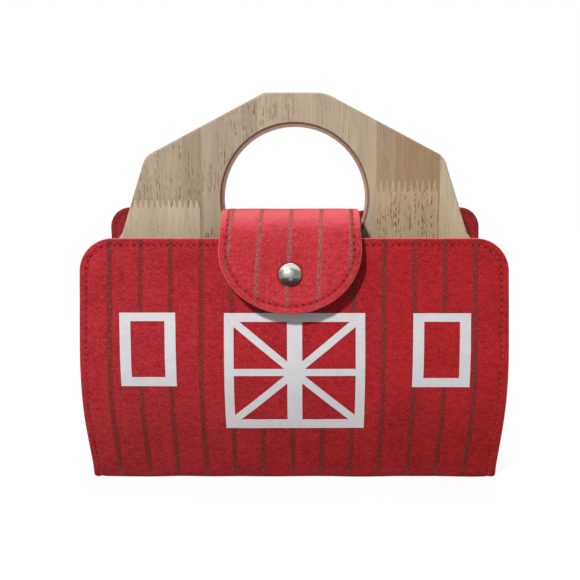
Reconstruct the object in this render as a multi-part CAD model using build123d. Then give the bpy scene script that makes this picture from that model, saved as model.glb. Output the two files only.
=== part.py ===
from build123d import *
from math import cos, radians, sin, sqrt
import os

os.makedirs("parts", exist_ok=True)

# A toy farm carrying case: felt walls folded up round a wooden handle board with a
# round hand hole. The back wall's felt runs forward through the hand hole as a flap,
# which closes over the front wall with a press stud. The sides are open.
# X runs along the width, -Y is the front with the barn door, and +Z is up. The origin
# is the middle of the base, on the floor. All sizes are in millimetres.

# Cloth: felt outside, a thinner felt lining inside
felt = 2.0
lining = 1.5
ply_gap = 0.15
cloth = felt + ply_gap + lining
soft_gap = 0.3

# Walls, measured along the outer face from the fold on the floor
case_width = 240.0
fold_half = 22.8
low_lean = radians(20.0)
low_run = 33.6
belly_radius = 110.0
top_lean = radians(7.5)
front_top_run = 59.6
ear_rise = 8.1
top_corner = 18.4
foot_corner = 2.5

# Base board and its screws
base_board_inset = 7.0
base_board_gap = 2.2
base_board_thick = 6.0
base_board_corner = 5.0
screw_count = 4
screw_pitch = 58.0
screw_length = 32.0
screw_radius = 2.0
screw_head_radius = 4.0
screw_head_height = 2.4
screw_tip = 4.0
close_fit = 0.05

# Handle board: half widths, and heights above the floor
board_thick = 18.0
shoulder_half = 105.2
shoulder_height = 142.8
eave_half = 101.7
eave_height = 145.9
knuckle_half = 87.0
knuckle_height = 189.8
knuckle_round = 14.0
ridge_half = 14.7
ridge_height = 226.0
ridge_round = 7.0
hole_radius = 43.5
wood_over_hole = 16.3
board_ease = 1.2

# Flap: it leaves the back wall, passes through the hand hole, rolls over the top edge of
# the front wall and hangs to a rounded end
flap_offset = -2.2
flap_side_gap = 0.66
back_roll = 8.0
notch_gap = 0.5
crest_flat = 0.5
front_roll = 17.4
edge_gap = 3.4
tongue_spread = radians(3.0)
tongue_drop = 44.7
tongue_end_depth = 35.5

# Press stud
snap_drop = 22.3
cap_radius = 6.25
cap_height = 2.7
cap_rim = 0.5
barrel_flange_radius = 4.4
barrel_flange = 0.4
post_radius = 1.4
post_fit = 0.1
socket_radius = 5.2
socket_bore = 3.1
socket_web = 0.4
socket_chamfer = 0.3
stud_flange_radius = 4.9
stud_flange = 0.5
stud_neck_radius = 1.8
stud_ball_radius = 2.3
stud_height = 2.4
stud_top = 0.4
snap_entry = 0.4
stud_bore_radius = 1.15
rivet_radius = 1.05
rivet_head_radius = 4.8
rivet_head = 0.6

# White trim, a film pressed on the front wall; drops are below the wall's top edge
film = 0.35
film_gap = 0.05
trim_drop = 41.0
door_bottom_drop = 110.0
door_width = 79.2
door_side_bar = 5.6
door_top_bar = 5.1
door_middle_bar = 8.4
door_rail = 4.0
door_brace = 4.2
window_bottom_drop = 83.4
window_width = 32.5
window_margin = 21.55
window_side_bar = 6.7
window_top_bar = 5.2

same_place = 0.01
belly_run = belly_radius * (low_lean + top_lean)
front_run = low_run + belly_run + front_top_run
hole_height = ridge_height - wood_over_hole - hole_radius
base_floor = felt + lining
board_foot = base_floor + base_board_thick


def wall_point(run, depth=0.0):
    """(y, z) of the front wall, run up its outer face and depth inside that face."""
    low = min(run, low_run)
    bent = min(max(run - low_run, 0.0), belly_run)
    high = max(run - low_run - belly_run, 0.0)
    lean = low_lean - bent / belly_radius
    y = -fold_half - low * sin(low_lean)
    y += belly_radius * (cos(low_lean) - cos(lean)) - high * sin(lean)
    z = low * cos(low_lean)
    z += belly_radius * (sin(low_lean) - sin(lean)) + high * cos(lean)
    return y + depth * cos(lean), z + depth * sin(lean)


def foot_run(depth, height):
    """Run at which a wall ply, depth inside the outer face, is at this height."""
    return (height - depth * sin(low_lean)) / cos(low_lean)


def height_below_top(drop):
    """Height above the floor of a line on the front wall, drop below its top edge."""
    return wall_point(front_run - drop)[1]


def wall_ply(near, far, foot, top_run, corner):
    """One ply of the front wall between two depths, from height foot up to top_run."""

    def stations(depth):
        runs = (foot_run(depth, foot), low_run, low_run + belly_run / 2)
        return [wall_point(run, depth) for run in (*runs, low_run + belly_run, top_run)]

    out = stations(near)
    back = stations(far)
    edges = Curve() + [
        Line(out[0], out[1]),
        ThreePointArc(out[1], out[2], out[3]),
        Line(out[3], out[4]),
        Line(out[4], back[4]),
        Line(back[4], back[3]),
        ThreePointArc(back[3], back[2], back[1]),
        Line(back[1], back[0]),
        Line(back[0], out[0]),
    ]
    ply = extrude(Plane.YZ * make_face(edges), amount=case_width / 2, both=True)
    if corner:
        ply = fillet(side_edges(ply, wall_point(top_run, (near + far) / 2)[1]), top_corner)
        ply = fillet(side_edges(ply, foot), foot_corner)
    return ply


def side_edges(ply, height):
    """The short edges at both sides of a wall ply that lie at this height."""
    sides = [e for e in ply.edges() if abs(abs(e.center().X) - case_width / 2) < same_place]
    return [e for e in sides if abs(e.center().Z - height) < same_place]


def wall_plane(run, depth, centre_x):
    """Plane on the front wall: X along the width, Y up the wall, Z straight out of it."""
    y, z = wall_point(run, depth)
    return Plane(origin=(centre_x, y, z), x_dir=(1, 0, 0), z_dir=(0, -cos(top_lean), sin(top_lean)))


# Flap geometry shared by its plies, the notch in the back wall and the press stud. The
# front roll turns about a line level with the wall's top edge, so the wall sets its height.
tongue_lean = top_lean + tongue_spread
edge_y, edge_z = wall_point(front_run)
roll_y = edge_y + (front_roll - cloth - edge_gap) / cos(tongue_lean)
roll_z = edge_z
flap_height = roll_z + front_roll
crest_y = roll_y + crest_flat
snap_out = (0.0, -cos(tongue_lean), sin(tongue_lean))
snap_up = (0.0, sin(tongue_lean), cos(tongue_lean))
hole_reach = max(hole_height - flap_height + cloth, flap_height - hole_height)
flap_half = sqrt(hole_radius**2 - hole_reach**2) - abs(flap_offset) - flap_side_gap
back_foot_z = flap_height - back_roll * (1 - sin(top_lean))
back_foot_run = low_run + belly_run
back_foot_run += (back_foot_z - wall_point(back_foot_run)[1]) / cos(top_lean)
back_run = back_foot_run + ear_rise
lining_foot = felt + soft_gap


def tongue_point(drop, depth):
    """(y, z) on the hanging part of the flap, drop below the end of its front roll."""
    y = roll_y + (front_roll - depth) * snap_out[1] - drop * snap_up[1]
    z = roll_z + (front_roll - depth) * snap_out[2] - drop * snap_up[2]
    return y, z


def tongue_plane(drop, depth):
    """Plane on the hanging part of the flap: Y up the flap, Z straight out of it."""
    y, z = tongue_point(drop, depth)
    return Plane(origin=(flap_offset, y, z), x_dir=(1, 0, 0), z_dir=snap_out)


def flap_strip(edges):
    """A strip as wide as the flap from the closed side outline of one of its plies."""
    strip = extrude(Plane.YZ * make_face(Curve() + edges), amount=flap_half, both=True)
    return Pos(flap_offset, 0, 0) * strip


def bridge_ply(near, far):
    """One ply of the flap from the top of the back wall to the crest."""
    centre_y, centre_z = wall_point(back_foot_run, back_roll)

    def stations(depth):
        foot_y, foot_z = wall_point(back_foot_run, depth)
        reach = back_roll - depth
        half_turn = radians(45) + top_lean / 2
        middle = (-centre_y + reach * cos(half_turn), centre_z + reach * sin(half_turn))
        top = (-centre_y, flap_height - depth)
        return [(-foot_y, foot_z), middle, top, (crest_y + soft_gap / 2, flap_height - depth)]

    out = stations(near)
    back = stations(far)
    return flap_strip([
        ThreePointArc(out[0], out[1], out[2]),
        Line(out[2], out[3]),
        Line(out[3], back[3]),
        Line(back[3], back[2]),
        ThreePointArc(back[2], back[1], back[0]),
        Line(back[0], out[0]),
    ])


def tongue_ply(near, far):
    """One ply of the flap from the crest over the front wall to its rounded end."""

    def stations(depth):
        reach = front_roll - depth
        half_turn = radians(45) + tongue_lean / 2
        middle = (roll_y - reach * cos(half_turn), roll_z + reach * sin(half_turn))
        crest = (crest_y - soft_gap / 2, flap_height - depth)
        ends = [tongue_point(0, depth), tongue_point(tongue_drop, depth)]
        return [crest, (roll_y, flap_height - depth), middle, *ends]

    out = stations(near)
    back = stations(far)
    ply = flap_strip([
        Line(out[0], out[1]),
        ThreePointArc(out[1], out[2], out[3]),
        Line(out[3], out[4]),
        Line(out[4], back[4]),
        Line(back[4], back[3]),
        ThreePointArc(back[3], back[2], back[1]),
        Line(back[1], back[0]),
        Line(back[0], out[0]),
    ])
    margin = 2 * cloth
    corner = (Align.CENTER, Align.MAX)
    waste = Rectangle(2 * (flap_half + margin), tongue_end_depth + margin, align=corner)
    waste = waste - Ellipse(flap_half, tongue_end_depth)
    waste = tongue_plane(tongue_drop - tongue_end_depth, 0) * waste
    ply = ply - extrude(waste, amount=margin, both=True)
    hole = Cylinder(post_radius + post_fit, 2 * margin)
    return ply - tongue_plane(snap_drop, 0).location * hole


def back_wall_ply(near, far, foot):
    """One ply of the back wall, notched where its cloth turns forward into the flap."""
    ply = wall_ply(near, far, foot, back_run, True)
    margin = 2 * cloth
    corners = [
        wall_point(back_foot_run, -margin),
        wall_point(back_foot_run, margin),
        wall_point(back_run + margin, margin),
        wall_point(back_run + margin, -margin),
    ]
    notch = Plane.YZ * make_face(Polyline(*corners, close=True))
    notch = extrude(notch, amount=flap_half + notch_gap, both=True)
    return mirror(ply - Pos(flap_offset, 0, 0) * notch, about=Plane.XZ)


def front_wall_ply(near, far, foot):
    """One ply of the front wall, with the hole for the rivet of the press stud."""
    ply = wall_ply(near, far, foot, front_run, True)
    hole = Cylinder(rivet_radius + post_fit, 4 * cloth)
    return ply - stud_plane(0).location * hole


def snap_space():
    """Distance along the press stud's axis from the flap's inner face to the front wall."""
    y, z = tongue_point(snap_drop, cloth)
    outward = (edge_y - y) * cos(top_lean) + (z - edge_z) * sin(top_lean)
    return outward / cos(tongue_spread)


def stud_plane(depth):
    """Plane on the front wall straight behind the middle of the flap's socket."""
    y, z = tongue_point(snap_drop, cloth)
    y = y - snap_space() * snap_out[1]
    z = z - snap_space() * snap_out[2]
    drop = (edge_y - y) * sin(top_lean) + (edge_z - z) * cos(top_lean)
    return wall_plane(front_run - drop, depth, flap_offset)


def base_ply(thick, floor, half_depth):
    """A flat ply of the base, butted between the feet of the two walls."""
    bottom = (Align.CENTER, Align.CENTER, Align.MIN)
    ply = Pos(0, 0, floor) * Box(case_width, 2 * half_depth, thick, align=bottom)
    return fillet(ply.edges().filter_by(Axis.Z), foot_corner)


def trim(outline):
    """A film of this outline, seen from the front, pressed on the front wall's face."""
    skin = wall_ply(-film_gap - film, -film_gap, 0, front_run, False)
    through = extrude(Plane.XZ * outline, amount=4 * fold_half)
    return skin & through


def door_outline():
    """Barn door: a frame, a middle post, a rail and two crossed braces."""
    top = height_below_top(trim_drop)
    bottom = height_below_top(door_bottom_drop)
    tall = top - bottom
    inner_wide = door_width - 2 * door_side_bar
    inner_tall = tall - 2 * door_top_bar
    inner = Rectangle(inner_wide, inner_tall)
    diagonal = sqrt(inner_wide**2 + inner_tall**2)
    lean = Vector(1, 0, 0).get_angle(Vector(inner_wide, inner_tall, 0))
    bars = Rectangle(door_middle_bar, inner_tall) + Rectangle(inner_wide, door_rail)
    for turn in (lean, -lean):
        bars = bars + Rot(0, 0, turn) * Rectangle(diagonal, door_brace)
    door = Rectangle(door_width, tall) - inner + (bars & inner)
    return Pos(0, (top + bottom) / 2) * door


def window_outline(side):
    """A window frame, side -1 on the left of the door and 1 on the right."""
    top = height_below_top(trim_drop)
    bottom = height_below_top(window_bottom_drop)
    tall = top - bottom
    pane = Rectangle(window_width - 2 * window_side_bar, tall - 2 * window_top_bar)
    frame = Rectangle(window_width, tall) - pane
    centre = case_width / 2 - window_margin - window_width / 2
    return Pos(side * centre, (top + bottom) / 2) * frame


def handle_board():
    """One gambrel board from the base board up past the hand hole to the ridge."""
    right = [
        (shoulder_half, board_foot),
        (shoulder_half, shoulder_height),
        (eave_half, eave_height),
        (knuckle_half, knuckle_height),
        (ridge_half, ridge_height),
    ]
    left = [(-x, z) for x, z in reversed(right)]
    face = make_face(Polyline(*right, *left, close=True))
    at_knuckle = [v for v in face.vertices() if abs(v.Y - knuckle_height) < same_place]
    face = fillet(at_knuckle, knuckle_round)
    at_ridge = [v for v in face.vertices() if abs(v.Y - ridge_height) < same_place]
    face = fillet(at_ridge, ridge_round)
    face = face - Pos(0, hole_height) * Circle(hole_radius)
    board = extrude(Plane.XZ * face, amount=board_thick / 2, both=True)
    rims = board.faces().filter_by(Axis.Y).edges()
    rims = [e for e in rims if e.center().Z > board_foot + board_ease]
    board = chamfer(rims, board_ease)
    pilot = Cylinder(screw_radius + close_fit, screw_length)
    for spot in GridLocations(screw_pitch, 0, screw_count, 1):
        board = board - Pos(0, 0, base_floor + screw_length / 2 + close_fit) * spot * pilot
    return board


def screw_shape(fit):
    """A countersunk wood screw standing on its head, or its hole when fit is above 0."""
    profile = Polyline(
        (0, 0),
        (screw_head_radius + fit, 0),
        (screw_radius + fit, screw_head_height + fit),
        (screw_radius + fit, screw_length - screw_tip),
        (0, screw_length),
        close=True,
    )
    return revolve(Plane.XZ * make_face(profile), axis=Axis.Z)


def base_board():
    """Flat board that the handle board stands on, countersunk from below."""
    bottom = (Align.CENTER, Align.CENTER, Align.MIN)
    wide = case_width - 2 * base_board_inset
    deep = 2 * (-wall_point(foot_run(cloth, base_floor), cloth)[0] - base_board_gap)
    board = Box(wide, deep, base_board_thick, align=bottom)
    board = fillet(board.edges().filter_by(Axis.Z), base_board_corner)
    for spot in GridLocations(screw_pitch, 0, screw_count, 1):
        board = board - spot * screw_shape(close_fit)
    return Pos(0, 0, base_floor) * board


def handle_screws():
    """The wood screws that hold the handle board to the base board."""
    spots = GridLocations(screw_pitch, 0, screw_count, 1)
    return Pos(0, 0, base_floor) * Compound([spot * screw_shape(0).solid() for spot in spots])


def snap_cap():
    """Domed cap on the face of the flap, hollowed behind for the flange of its barrel."""
    shoulder = cap_radius - cap_rim / 2
    rise = cap_height - cap_rim
    dome_radius = (shoulder**2 + rise**2) / (2 * rise)
    dome_middle = cap_height - dome_radius + sqrt(dome_radius**2 - (shoulder / 2) ** 2)
    recess = (barrel_flange_radius + close_fit, barrel_flange + close_fit)
    outline = Curve() + [
        Polyline((0, recess[1]), recess, (recess[0], 0), (cap_radius, 0)),
        Polyline((cap_radius, 0), (cap_radius, cap_rim / 2), (shoulder, cap_rim)),
        ThreePointArc((shoulder, cap_rim), (shoulder / 2, dome_middle), (0, cap_height)),
        Line((0, cap_height), (0, recess[1])),
    ]
    cap = revolve(Plane.XZ * make_face(outline), axis=Axis.Z)
    return tongue_plane(snap_drop, 0).location * cap


def snap_barrel():
    """Flanged barrel from inside the cap, through the flap, clamping the socket."""
    bottom = (Align.CENTER, Align.CENTER, Align.MIN)
    stem = cloth + socket_web
    flange = Cylinder(barrel_flange_radius, barrel_flange, align=bottom)
    barrel = flange + Pos(0, 0, -stem) * Cylinder(post_radius, stem, align=bottom)
    return tongue_plane(snap_drop, 0).location * barrel


# The stud stands snap_entry deep in the mouth of the socket
socket_height = snap_space() - stud_height + snap_entry
stud_bore_depth = stud_height - stud_top


def snap_socket():
    """Ring behind the flap that grips the stud."""
    bottom = (Align.CENTER, Align.CENTER, Align.MIN)
    ring = Cylinder(socket_radius, socket_height, align=bottom)
    ring = chamfer(ring.edges().sort_by(Axis.Z)[0], socket_chamfer)
    ring = ring - Cylinder(socket_bore, socket_height - socket_web, align=bottom)
    ring = ring - Cylinder(post_radius + close_fit, 2 * socket_height)
    return tongue_plane(snap_drop, cloth + socket_height).location * ring


def snap_stud():
    """Stud on the front wall: a flange and a low knob that the socket presses over."""
    knob = (stud_height - stud_flange) / 3
    outline = Polyline(
        (0, stud_bore_depth),
        (stud_bore_radius, stud_bore_depth),
        (stud_bore_radius, 0),
        (stud_flange_radius, 0),
        (stud_flange_radius - stud_flange / 2, stud_flange),
        (stud_neck_radius, stud_flange),
        (stud_ball_radius, stud_flange + knob),
        (stud_ball_radius, stud_height - knob),
        (stud_neck_radius, stud_height),
        (0, stud_height),
        close=True,
    )
    stud = revolve(Plane.XZ * make_face(outline), axis=Axis.Z)
    return stud_plane(0).location * stud


def snap_post():
    """Rivet from inside the front wall, clamping both plies to the stud."""
    bottom = (Align.CENTER, Align.CENTER, Align.MIN)
    head = Cylinder(rivet_head_radius, rivet_head, align=bottom)
    head = chamfer(head.edges().sort_by(Axis.Z)[0], rivet_head / 2)
    tall = rivet_head + cloth + stud_bore_depth - close_fit
    rivet = head + Cylinder(rivet_radius, tall, align=bottom)
    return stud_plane(cloth + rivet_head).location * rivet


base_felt_half = -wall_point(foot_run(felt, 0), felt)[0] - soft_gap
base_lining_half = -wall_point(foot_run(cloth, lining_foot), cloth)[0] - soft_gap

pieces = {
    "felt_front_wall": front_wall_ply(0, felt, 0),
    "felt_base": base_ply(felt, 0, base_felt_half),
    "felt_back_wall": back_wall_ply(0, felt, 0),
    "felt_flap_bridge": bridge_ply(0, felt),
    "felt_flap_tongue": tongue_ply(0, felt),
    "lining_front_wall": front_wall_ply(felt + ply_gap, cloth, lining_foot),
    "lining_base": base_ply(lining, felt, base_lining_half),
    "lining_back_wall": back_wall_ply(felt + ply_gap, cloth, lining_foot),
    "lining_flap_bridge": bridge_ply(felt + ply_gap, cloth),
    "lining_flap_tongue": tongue_ply(felt + ply_gap, cloth),
    "base_board": base_board(),
    "handle_board": handle_board(),
    "handle_screws": handle_screws(),
    "snap_cap": snap_cap(),
    "snap_barrel": snap_barrel(),
    "snap_socket": snap_socket(),
    "snap_stud": snap_stud(),
    "snap_post": snap_post(),
    "door_trim": trim(door_outline()),
    "window_trim_left": trim(window_outline(-1)),
    "window_trim_right": trim(window_outline(1)),
}

for name, piece in pieces.items():
    export_step(piece, f"parts/{name}.step")
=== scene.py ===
import random
from math import ceil, cos, exp, hypot, pi, radians, sin, sqrt

import bmesh
import bpy
from mathutils import Matrix, Vector, noise


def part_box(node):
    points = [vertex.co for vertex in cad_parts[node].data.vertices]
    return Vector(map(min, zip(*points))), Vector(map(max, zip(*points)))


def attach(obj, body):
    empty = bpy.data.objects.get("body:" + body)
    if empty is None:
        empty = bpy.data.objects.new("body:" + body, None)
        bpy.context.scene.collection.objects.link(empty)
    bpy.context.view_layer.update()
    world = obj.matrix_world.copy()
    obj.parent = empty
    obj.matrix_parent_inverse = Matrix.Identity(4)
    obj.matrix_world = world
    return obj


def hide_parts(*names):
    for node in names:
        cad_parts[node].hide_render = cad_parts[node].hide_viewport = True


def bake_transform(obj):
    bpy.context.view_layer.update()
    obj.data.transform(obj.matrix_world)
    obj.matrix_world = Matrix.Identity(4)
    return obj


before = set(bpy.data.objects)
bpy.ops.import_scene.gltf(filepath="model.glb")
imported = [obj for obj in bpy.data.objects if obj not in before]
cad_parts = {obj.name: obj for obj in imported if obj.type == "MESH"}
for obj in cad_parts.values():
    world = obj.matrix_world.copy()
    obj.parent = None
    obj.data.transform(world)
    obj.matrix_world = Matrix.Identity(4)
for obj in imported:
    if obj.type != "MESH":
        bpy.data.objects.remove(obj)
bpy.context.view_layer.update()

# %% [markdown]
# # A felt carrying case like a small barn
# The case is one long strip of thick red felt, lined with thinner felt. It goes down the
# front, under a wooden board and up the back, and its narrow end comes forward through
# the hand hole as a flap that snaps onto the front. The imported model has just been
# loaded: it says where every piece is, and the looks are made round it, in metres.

# %% [markdown]
# ## Sizes
# Each size is written once, in metres, with a millimetre as the working unit. They are
# the sizes that the pieces were cut to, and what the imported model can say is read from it.

# %% Cloth and walls
mm = 0.001
felt = 2.0 * mm
lining = 1.5 * mm
ply_gap = 0.15 * mm
cloth = felt + ply_gap + lining
case_width = 240.0 * mm
fold_half = 22.8 * mm
fold_round = 4.0 * mm
base_seam = 14.0 * mm
low_lean = radians(20.0)
low_run = 33.6 * mm
belly_radius = 110.0 * mm
top_lean = radians(7.5)
front_top_run = 60.2 * mm
ear_rise = 7.2 * mm
top_corner = 18.4 * mm
ear_corner = 13.0 * mm
belly_run = belly_radius * (low_lean + top_lean)
print("front wall, fold to top edge:", round((low_run + belly_run + front_top_run) / mm), "mm")

# %% Flap
back_roll = 8.0 * mm
front_roll = 17.4 * mm
edge_gap = 3.4 * mm
tongue_lean = top_lean + radians(3.0)
tongue_drop = 44.0 * mm
tongue_end_depth = 35.5 * mm
snap_drop = 22.3 * mm
slit = 0.5 * mm
bridge_low, bridge_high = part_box("felt_flap_bridge")
flap_offset = (bridge_low.x + bridge_high.x) / 2
flap_half = (bridge_high.x - bridge_low.x) / 2
flap_height = bridge_high.z

# %% [markdown]
# ## The path of the cloth
# Seen from the side, the cloth is a walk of straight legs and arcs. Each leg has a length
# and the angle that it turns by, so a point on the cloth is found by walking a distance v
# from the middle of the base. The same walk, taken a little further in, gives the lining.
# Working in flat cloth sizes keeps stitches, stripes and prints at their real scale, and
# one walk serves the front and, mirrored, the back.

# %% Walk along the side outline
def walk(legs, distance, depth=0.0):
    """(out, up, heading) this far along the legs, and depth in towards the board."""
    out, up, heading = min(distance, 0.0), 0.0, 0.0
    distance = max(distance, 0.0)
    for length, turn in legs:
        part = min(distance, length)
        if turn:
            radius = length / turn
            after = heading + part / radius
            out += radius * (sin(after) - sin(heading))
            up += radius * (cos(heading) - cos(after))
            heading = after
        else:
            out += part * cos(heading)
            up += part * sin(heading)
        distance -= part
        if distance <= 0:
            break
    return out - depth * sin(heading), up + depth * cos(heading), heading


def total(legs):
    return sum(length for length, _ in legs)


fold_turn = pi / 2 - low_lean
fold_cut = fold_round * sin(fold_turn / 2) / cos(fold_turn / 2)
wall_legs = [
    (fold_half - fold_cut, 0.0),
    (fold_round * fold_turn, fold_turn),
    (low_run - fold_cut, 0.0),
    (belly_run, low_lean + top_lean),
]
front_legs = wall_legs + [(front_top_run, 0.0)]
front_length = total(front_legs)
foot_up = walk(wall_legs, total(wall_legs))[1]
back_top_run = (flap_height - back_roll * (1 - sin(top_lean)) - foot_up) / cos(top_lean)
back_legs = wall_legs + [(back_top_run + ear_rise, 0.0)]
back_length = total(back_legs)
back_foot = back_length - ear_rise
print("strip, base middle to front edge:", round(front_length / mm, 1), "mm")

# %% Walk on through the hand hole and down the flap
turn_out, _, turn_heading = walk(back_legs, back_foot)
front_centre = -walk(front_legs, front_length)[0]
front_centre += (front_roll - cloth - edge_gap) / cos(tongue_lean)
over_hole = turn_out - back_roll * sin(turn_heading) - front_centre
flap_legs = wall_legs + [
    (back_top_run, 0.0),
    (back_roll * (pi - turn_heading), pi - turn_heading),
    (over_hole, 0.0),
    (front_roll * (pi / 2 - tongue_lean), pi / 2 - tongue_lean),
    (tongue_drop, 0.0),
]
flap_length = total(flap_legs)
hang_start = flap_length - tongue_drop
crest_run = total(flap_legs[:-2])
round_start = flap_length - tongue_end_depth
snap_run = hang_start + snap_drop
stud_run = front_length - 15.6 * mm
front, back = -1, 1
print("strip, base middle to flap end:", round(flap_length / mm, 1), "mm")

# %% [markdown]
# ## Where felt gives
# Thick felt is never quite flat. A slow ripple moves both plies together, the row of
# stitches pulls them in, and the cut edges are soft. These small moves are worked out
# from the distance to the nearest cut edge, so they fit any outline.

# %% Ripple, groove and soft edge
stitch_inset = 4.2 * mm
groove_depth = 0.42 * mm
groove_width = 1.1 * mm
edge_round = 0.9 * mm
calm = 60 * mm
slow_ripple = 0.45 * mm
small_ripple = 0.12 * mm
stud_dimple = 0.35 * mm
fold_narrowing = 0.7 * mm
flap_narrowing = 0.9 * mm
flap_sag = 0.9 * mm
ear_drop = 2.6 * mm
left_curl, right_curl = 2.2 * mm, 5.0 * mm


def eased(value, start, end):
    """0 to 1 while a value goes from start to end, smoothly."""
    share = min(max((value - start) / (end - start), 0.0), 1.0)
    return share * share * (3 - 2 * share)


def stud_reach(side, u, v):
    """Distance on the flat cloth from the press stud."""
    return hypot(u - flap_offset, v - (snap_run if side == back else stud_run))


def ripple(side, u, v):
    """Slow unevenness of the cloth, out of its face, calm at the base and the stud."""
    wide = noise.noise(Vector((u / (55 * mm), v / (60 * mm), 3.1 + side)))
    small = noise.noise(Vector((u / (13 * mm), v / (15 * mm), 8.4 + side)))
    reach = stud_reach(side, u, v)
    loose = min(1.0, abs(v) / calm) * eased(reach, 5 * mm, 18 * mm)
    dimple = stud_dimple * (1 - eased(reach, 6 * mm, 10 * mm)) * (side == back)
    return (slow_ripple * wide + small_ripple * small) * loose - dimple


def swell(value, middle, width):
    """A smooth hump of height 1 round a middle."""
    return exp(-(((value - middle) / width) ** 2))


fold_middle = fold_half - fold_cut + fold_round * fold_turn / 2


def through_hole(side, u, v):
    """1 where the flap passes over the hand hole's lower edge, 0 away from there."""
    if side == front or not on_flap(u, v):
        return 0.0
    leaving = 1 - eased(v, hang_start - 8 * mm, hang_start + 12 * mm)
    return eased(v, back_foot, back_foot + 12 * mm) * leaving


def drawn_in(side, u, v):
    """Where a spot of the flat cloth lies along the width: bends draw the cloth in."""
    fold_pull = fold_narrowing * swell(abs(v), fold_middle - 1 * mm, 2.2 * mm)
    flap_pull = flap_narrowing * through_hole(side, u, v)
    return u - fold_pull * u / (case_width / 2) - flap_pull * (u - flap_offset) / flap_half


def sunk(side, u, v):
    """How far the flap sags where nothing holds it up."""
    return flap_sag * through_hole(side, u, v)


def bulged(u, v):
    """How far the fold at the floor pushes out past a neat bend, in slow waves."""
    waves = noise.noise(Vector((u / (24 * mm), 5.3, 0.7)))
    return (2.2 + 1.0 * waves) * mm * swell(abs(v), fold_middle - 0.8 * mm, 5 * mm)


def dropped(side, u, v):
    """How far the ears' top edges have slid down beside the flap."""
    if side == front or v <= back_foot or on_flap(u, v):
        return 0.0
    beside = abs(u - flap_offset) - flap_half
    return ear_drop * eased(v, back_foot, back_length) * swell(beside, 0.0, 12 * mm)


def curled(side, u, v):
    """How far the ears' corners have bent back, the right one more than the left."""
    if side == front:
        return 0.0
    far = right_curl if u > 0 else left_curl
    beside = eased(abs(u), case_width / 2 - 28 * mm, case_width / 2 + 6 * mm)
    return far * beside * eased(v, back_foot - 24 * mm, back_length)


def pressed(edge):
    """How far the stitches pull a face in at this distance from the cut edge."""
    return groove_depth * swell(edge, stitch_inset, groove_width)


def fallen(edge):
    """How far the soft cut edge has fallen back from the face."""
    if edge >= edge_round:
        return 0.0
    return edge_round - sqrt(max(edge_round**2 - (edge_round - max(edge, 0.0)) ** 2, 0.0))


# %% Distance to the cut edge
front_shape = (front_length, top_corner)
back_shape = (back_length, ear_corner)
flap_left = flap_offset - flap_half
flap_right = flap_offset + flap_half
tiny = 1e-6
hair = 0.001 * mm


def wall_edge(u, v, length, corner):
    """Distance in from the cut edge of a wall with rounded top corners."""
    side = case_width / 2 - abs(u)
    top = length - v
    if side < corner and top < corner:
        return corner - hypot(corner - side, corner - top)
    return min(side, top)


def flap_edge(u, v):
    """Distance in from the cut edge of the flap, whose end is half an ellipse."""
    across = abs(u - flap_offset)
    down = v - round_start
    if down <= 0:
        return flap_half - across
    reach = hypot(across / flap_half, down / tongue_end_depth)
    slope = hypot(across / flap_half**2, down / tongue_end_depth**2) / max(reach, tiny)
    return min((1 - reach) / max(slope, tiny), flap_half)


def slit_edge(u, v):
    """Distance from the two slits that set the flap free of the back wall."""
    below = max(back_foot - v, 0.0)
    beside = min(abs(u - flap_left + slit / 2), abs(u - flap_right - slit / 2))
    return hypot(beside, below) - slit / 2


def on_flap(u, v):
    """True past the foot of the flap, between its two cut edges."""
    return v > back_foot - hair and abs(u - flap_offset) < flap_half + hair


# %% One point of the cloth
def layout(side, u, v):
    """The legs to walk and the distance to the cut edge, for a spot on the flat cloth."""
    if side == front:
        return front_legs, wall_edge(u, v, *front_shape)
    if on_flap(u, v):
        return flap_legs, flap_edge(u, v)
    return back_legs, min(wall_edge(u, v, *back_shape), slit_edge(u, v))


def cloth_point(side, u, v, depth):
    """A point of the cloth, this deep under its outer face."""
    legs = layout(side, u, v)[0]
    depth += sunk(side, u, v) - ripple(side, u, v)
    out, up, _ = walk(legs, v - dropped(side, u, v), depth)
    out += bulged(u, v) + curled(side, u, v)
    return Vector((drawn_in(side, u, v), side * out, up))


def cloth_normal(side, u, v):
    """The direction straight out of the outer face."""
    heading = walk(layout(side, u, v)[0], v)[2]
    return Vector((0, side * sin(heading), -cos(heading)))


def ply_faces(ply, edge):
    """Depths of a ply's outer and inner faces at this distance from the cut edge."""
    if ply == "felt":
        return fallen(edge) + pressed(edge), felt - fallen(edge)
    return felt + ply_gap + fallen(edge), cloth - fallen(edge) - pressed(edge)


# %% [markdown]
# ## Where the stitches run
# One row of lock stitch holds the two plies together just inside every cut edge. The
# rows are laid out first, on the flat cloth, because the felt is dimpled at each hole.

# %% Paths of the rows of stitches
def arc(centre, radii, start, end, count=40):
    """Points (u, v) on an arc of an ellipse, angles from the +u direction."""
    turns = [start + (end - start) * i / count for i in range(count + 1)]
    return [(centre[0] + radii[0] * cos(t), centre[1] + radii[1] * sin(t)) for t in turns]


def wall_row(length, corner, start):
    """The row inside a wall's edge: up one side, round the corner and along the top."""
    side = case_width / 2 - stitch_inset
    bend = corner - stitch_inset
    middle = (case_width / 2 - corner, length - corner)
    return [(side, start), *arc(middle, (bend, bend), 0, pi / 2)]


def mirrored(path):
    return [(-u, v) for u, v in path]


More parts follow.
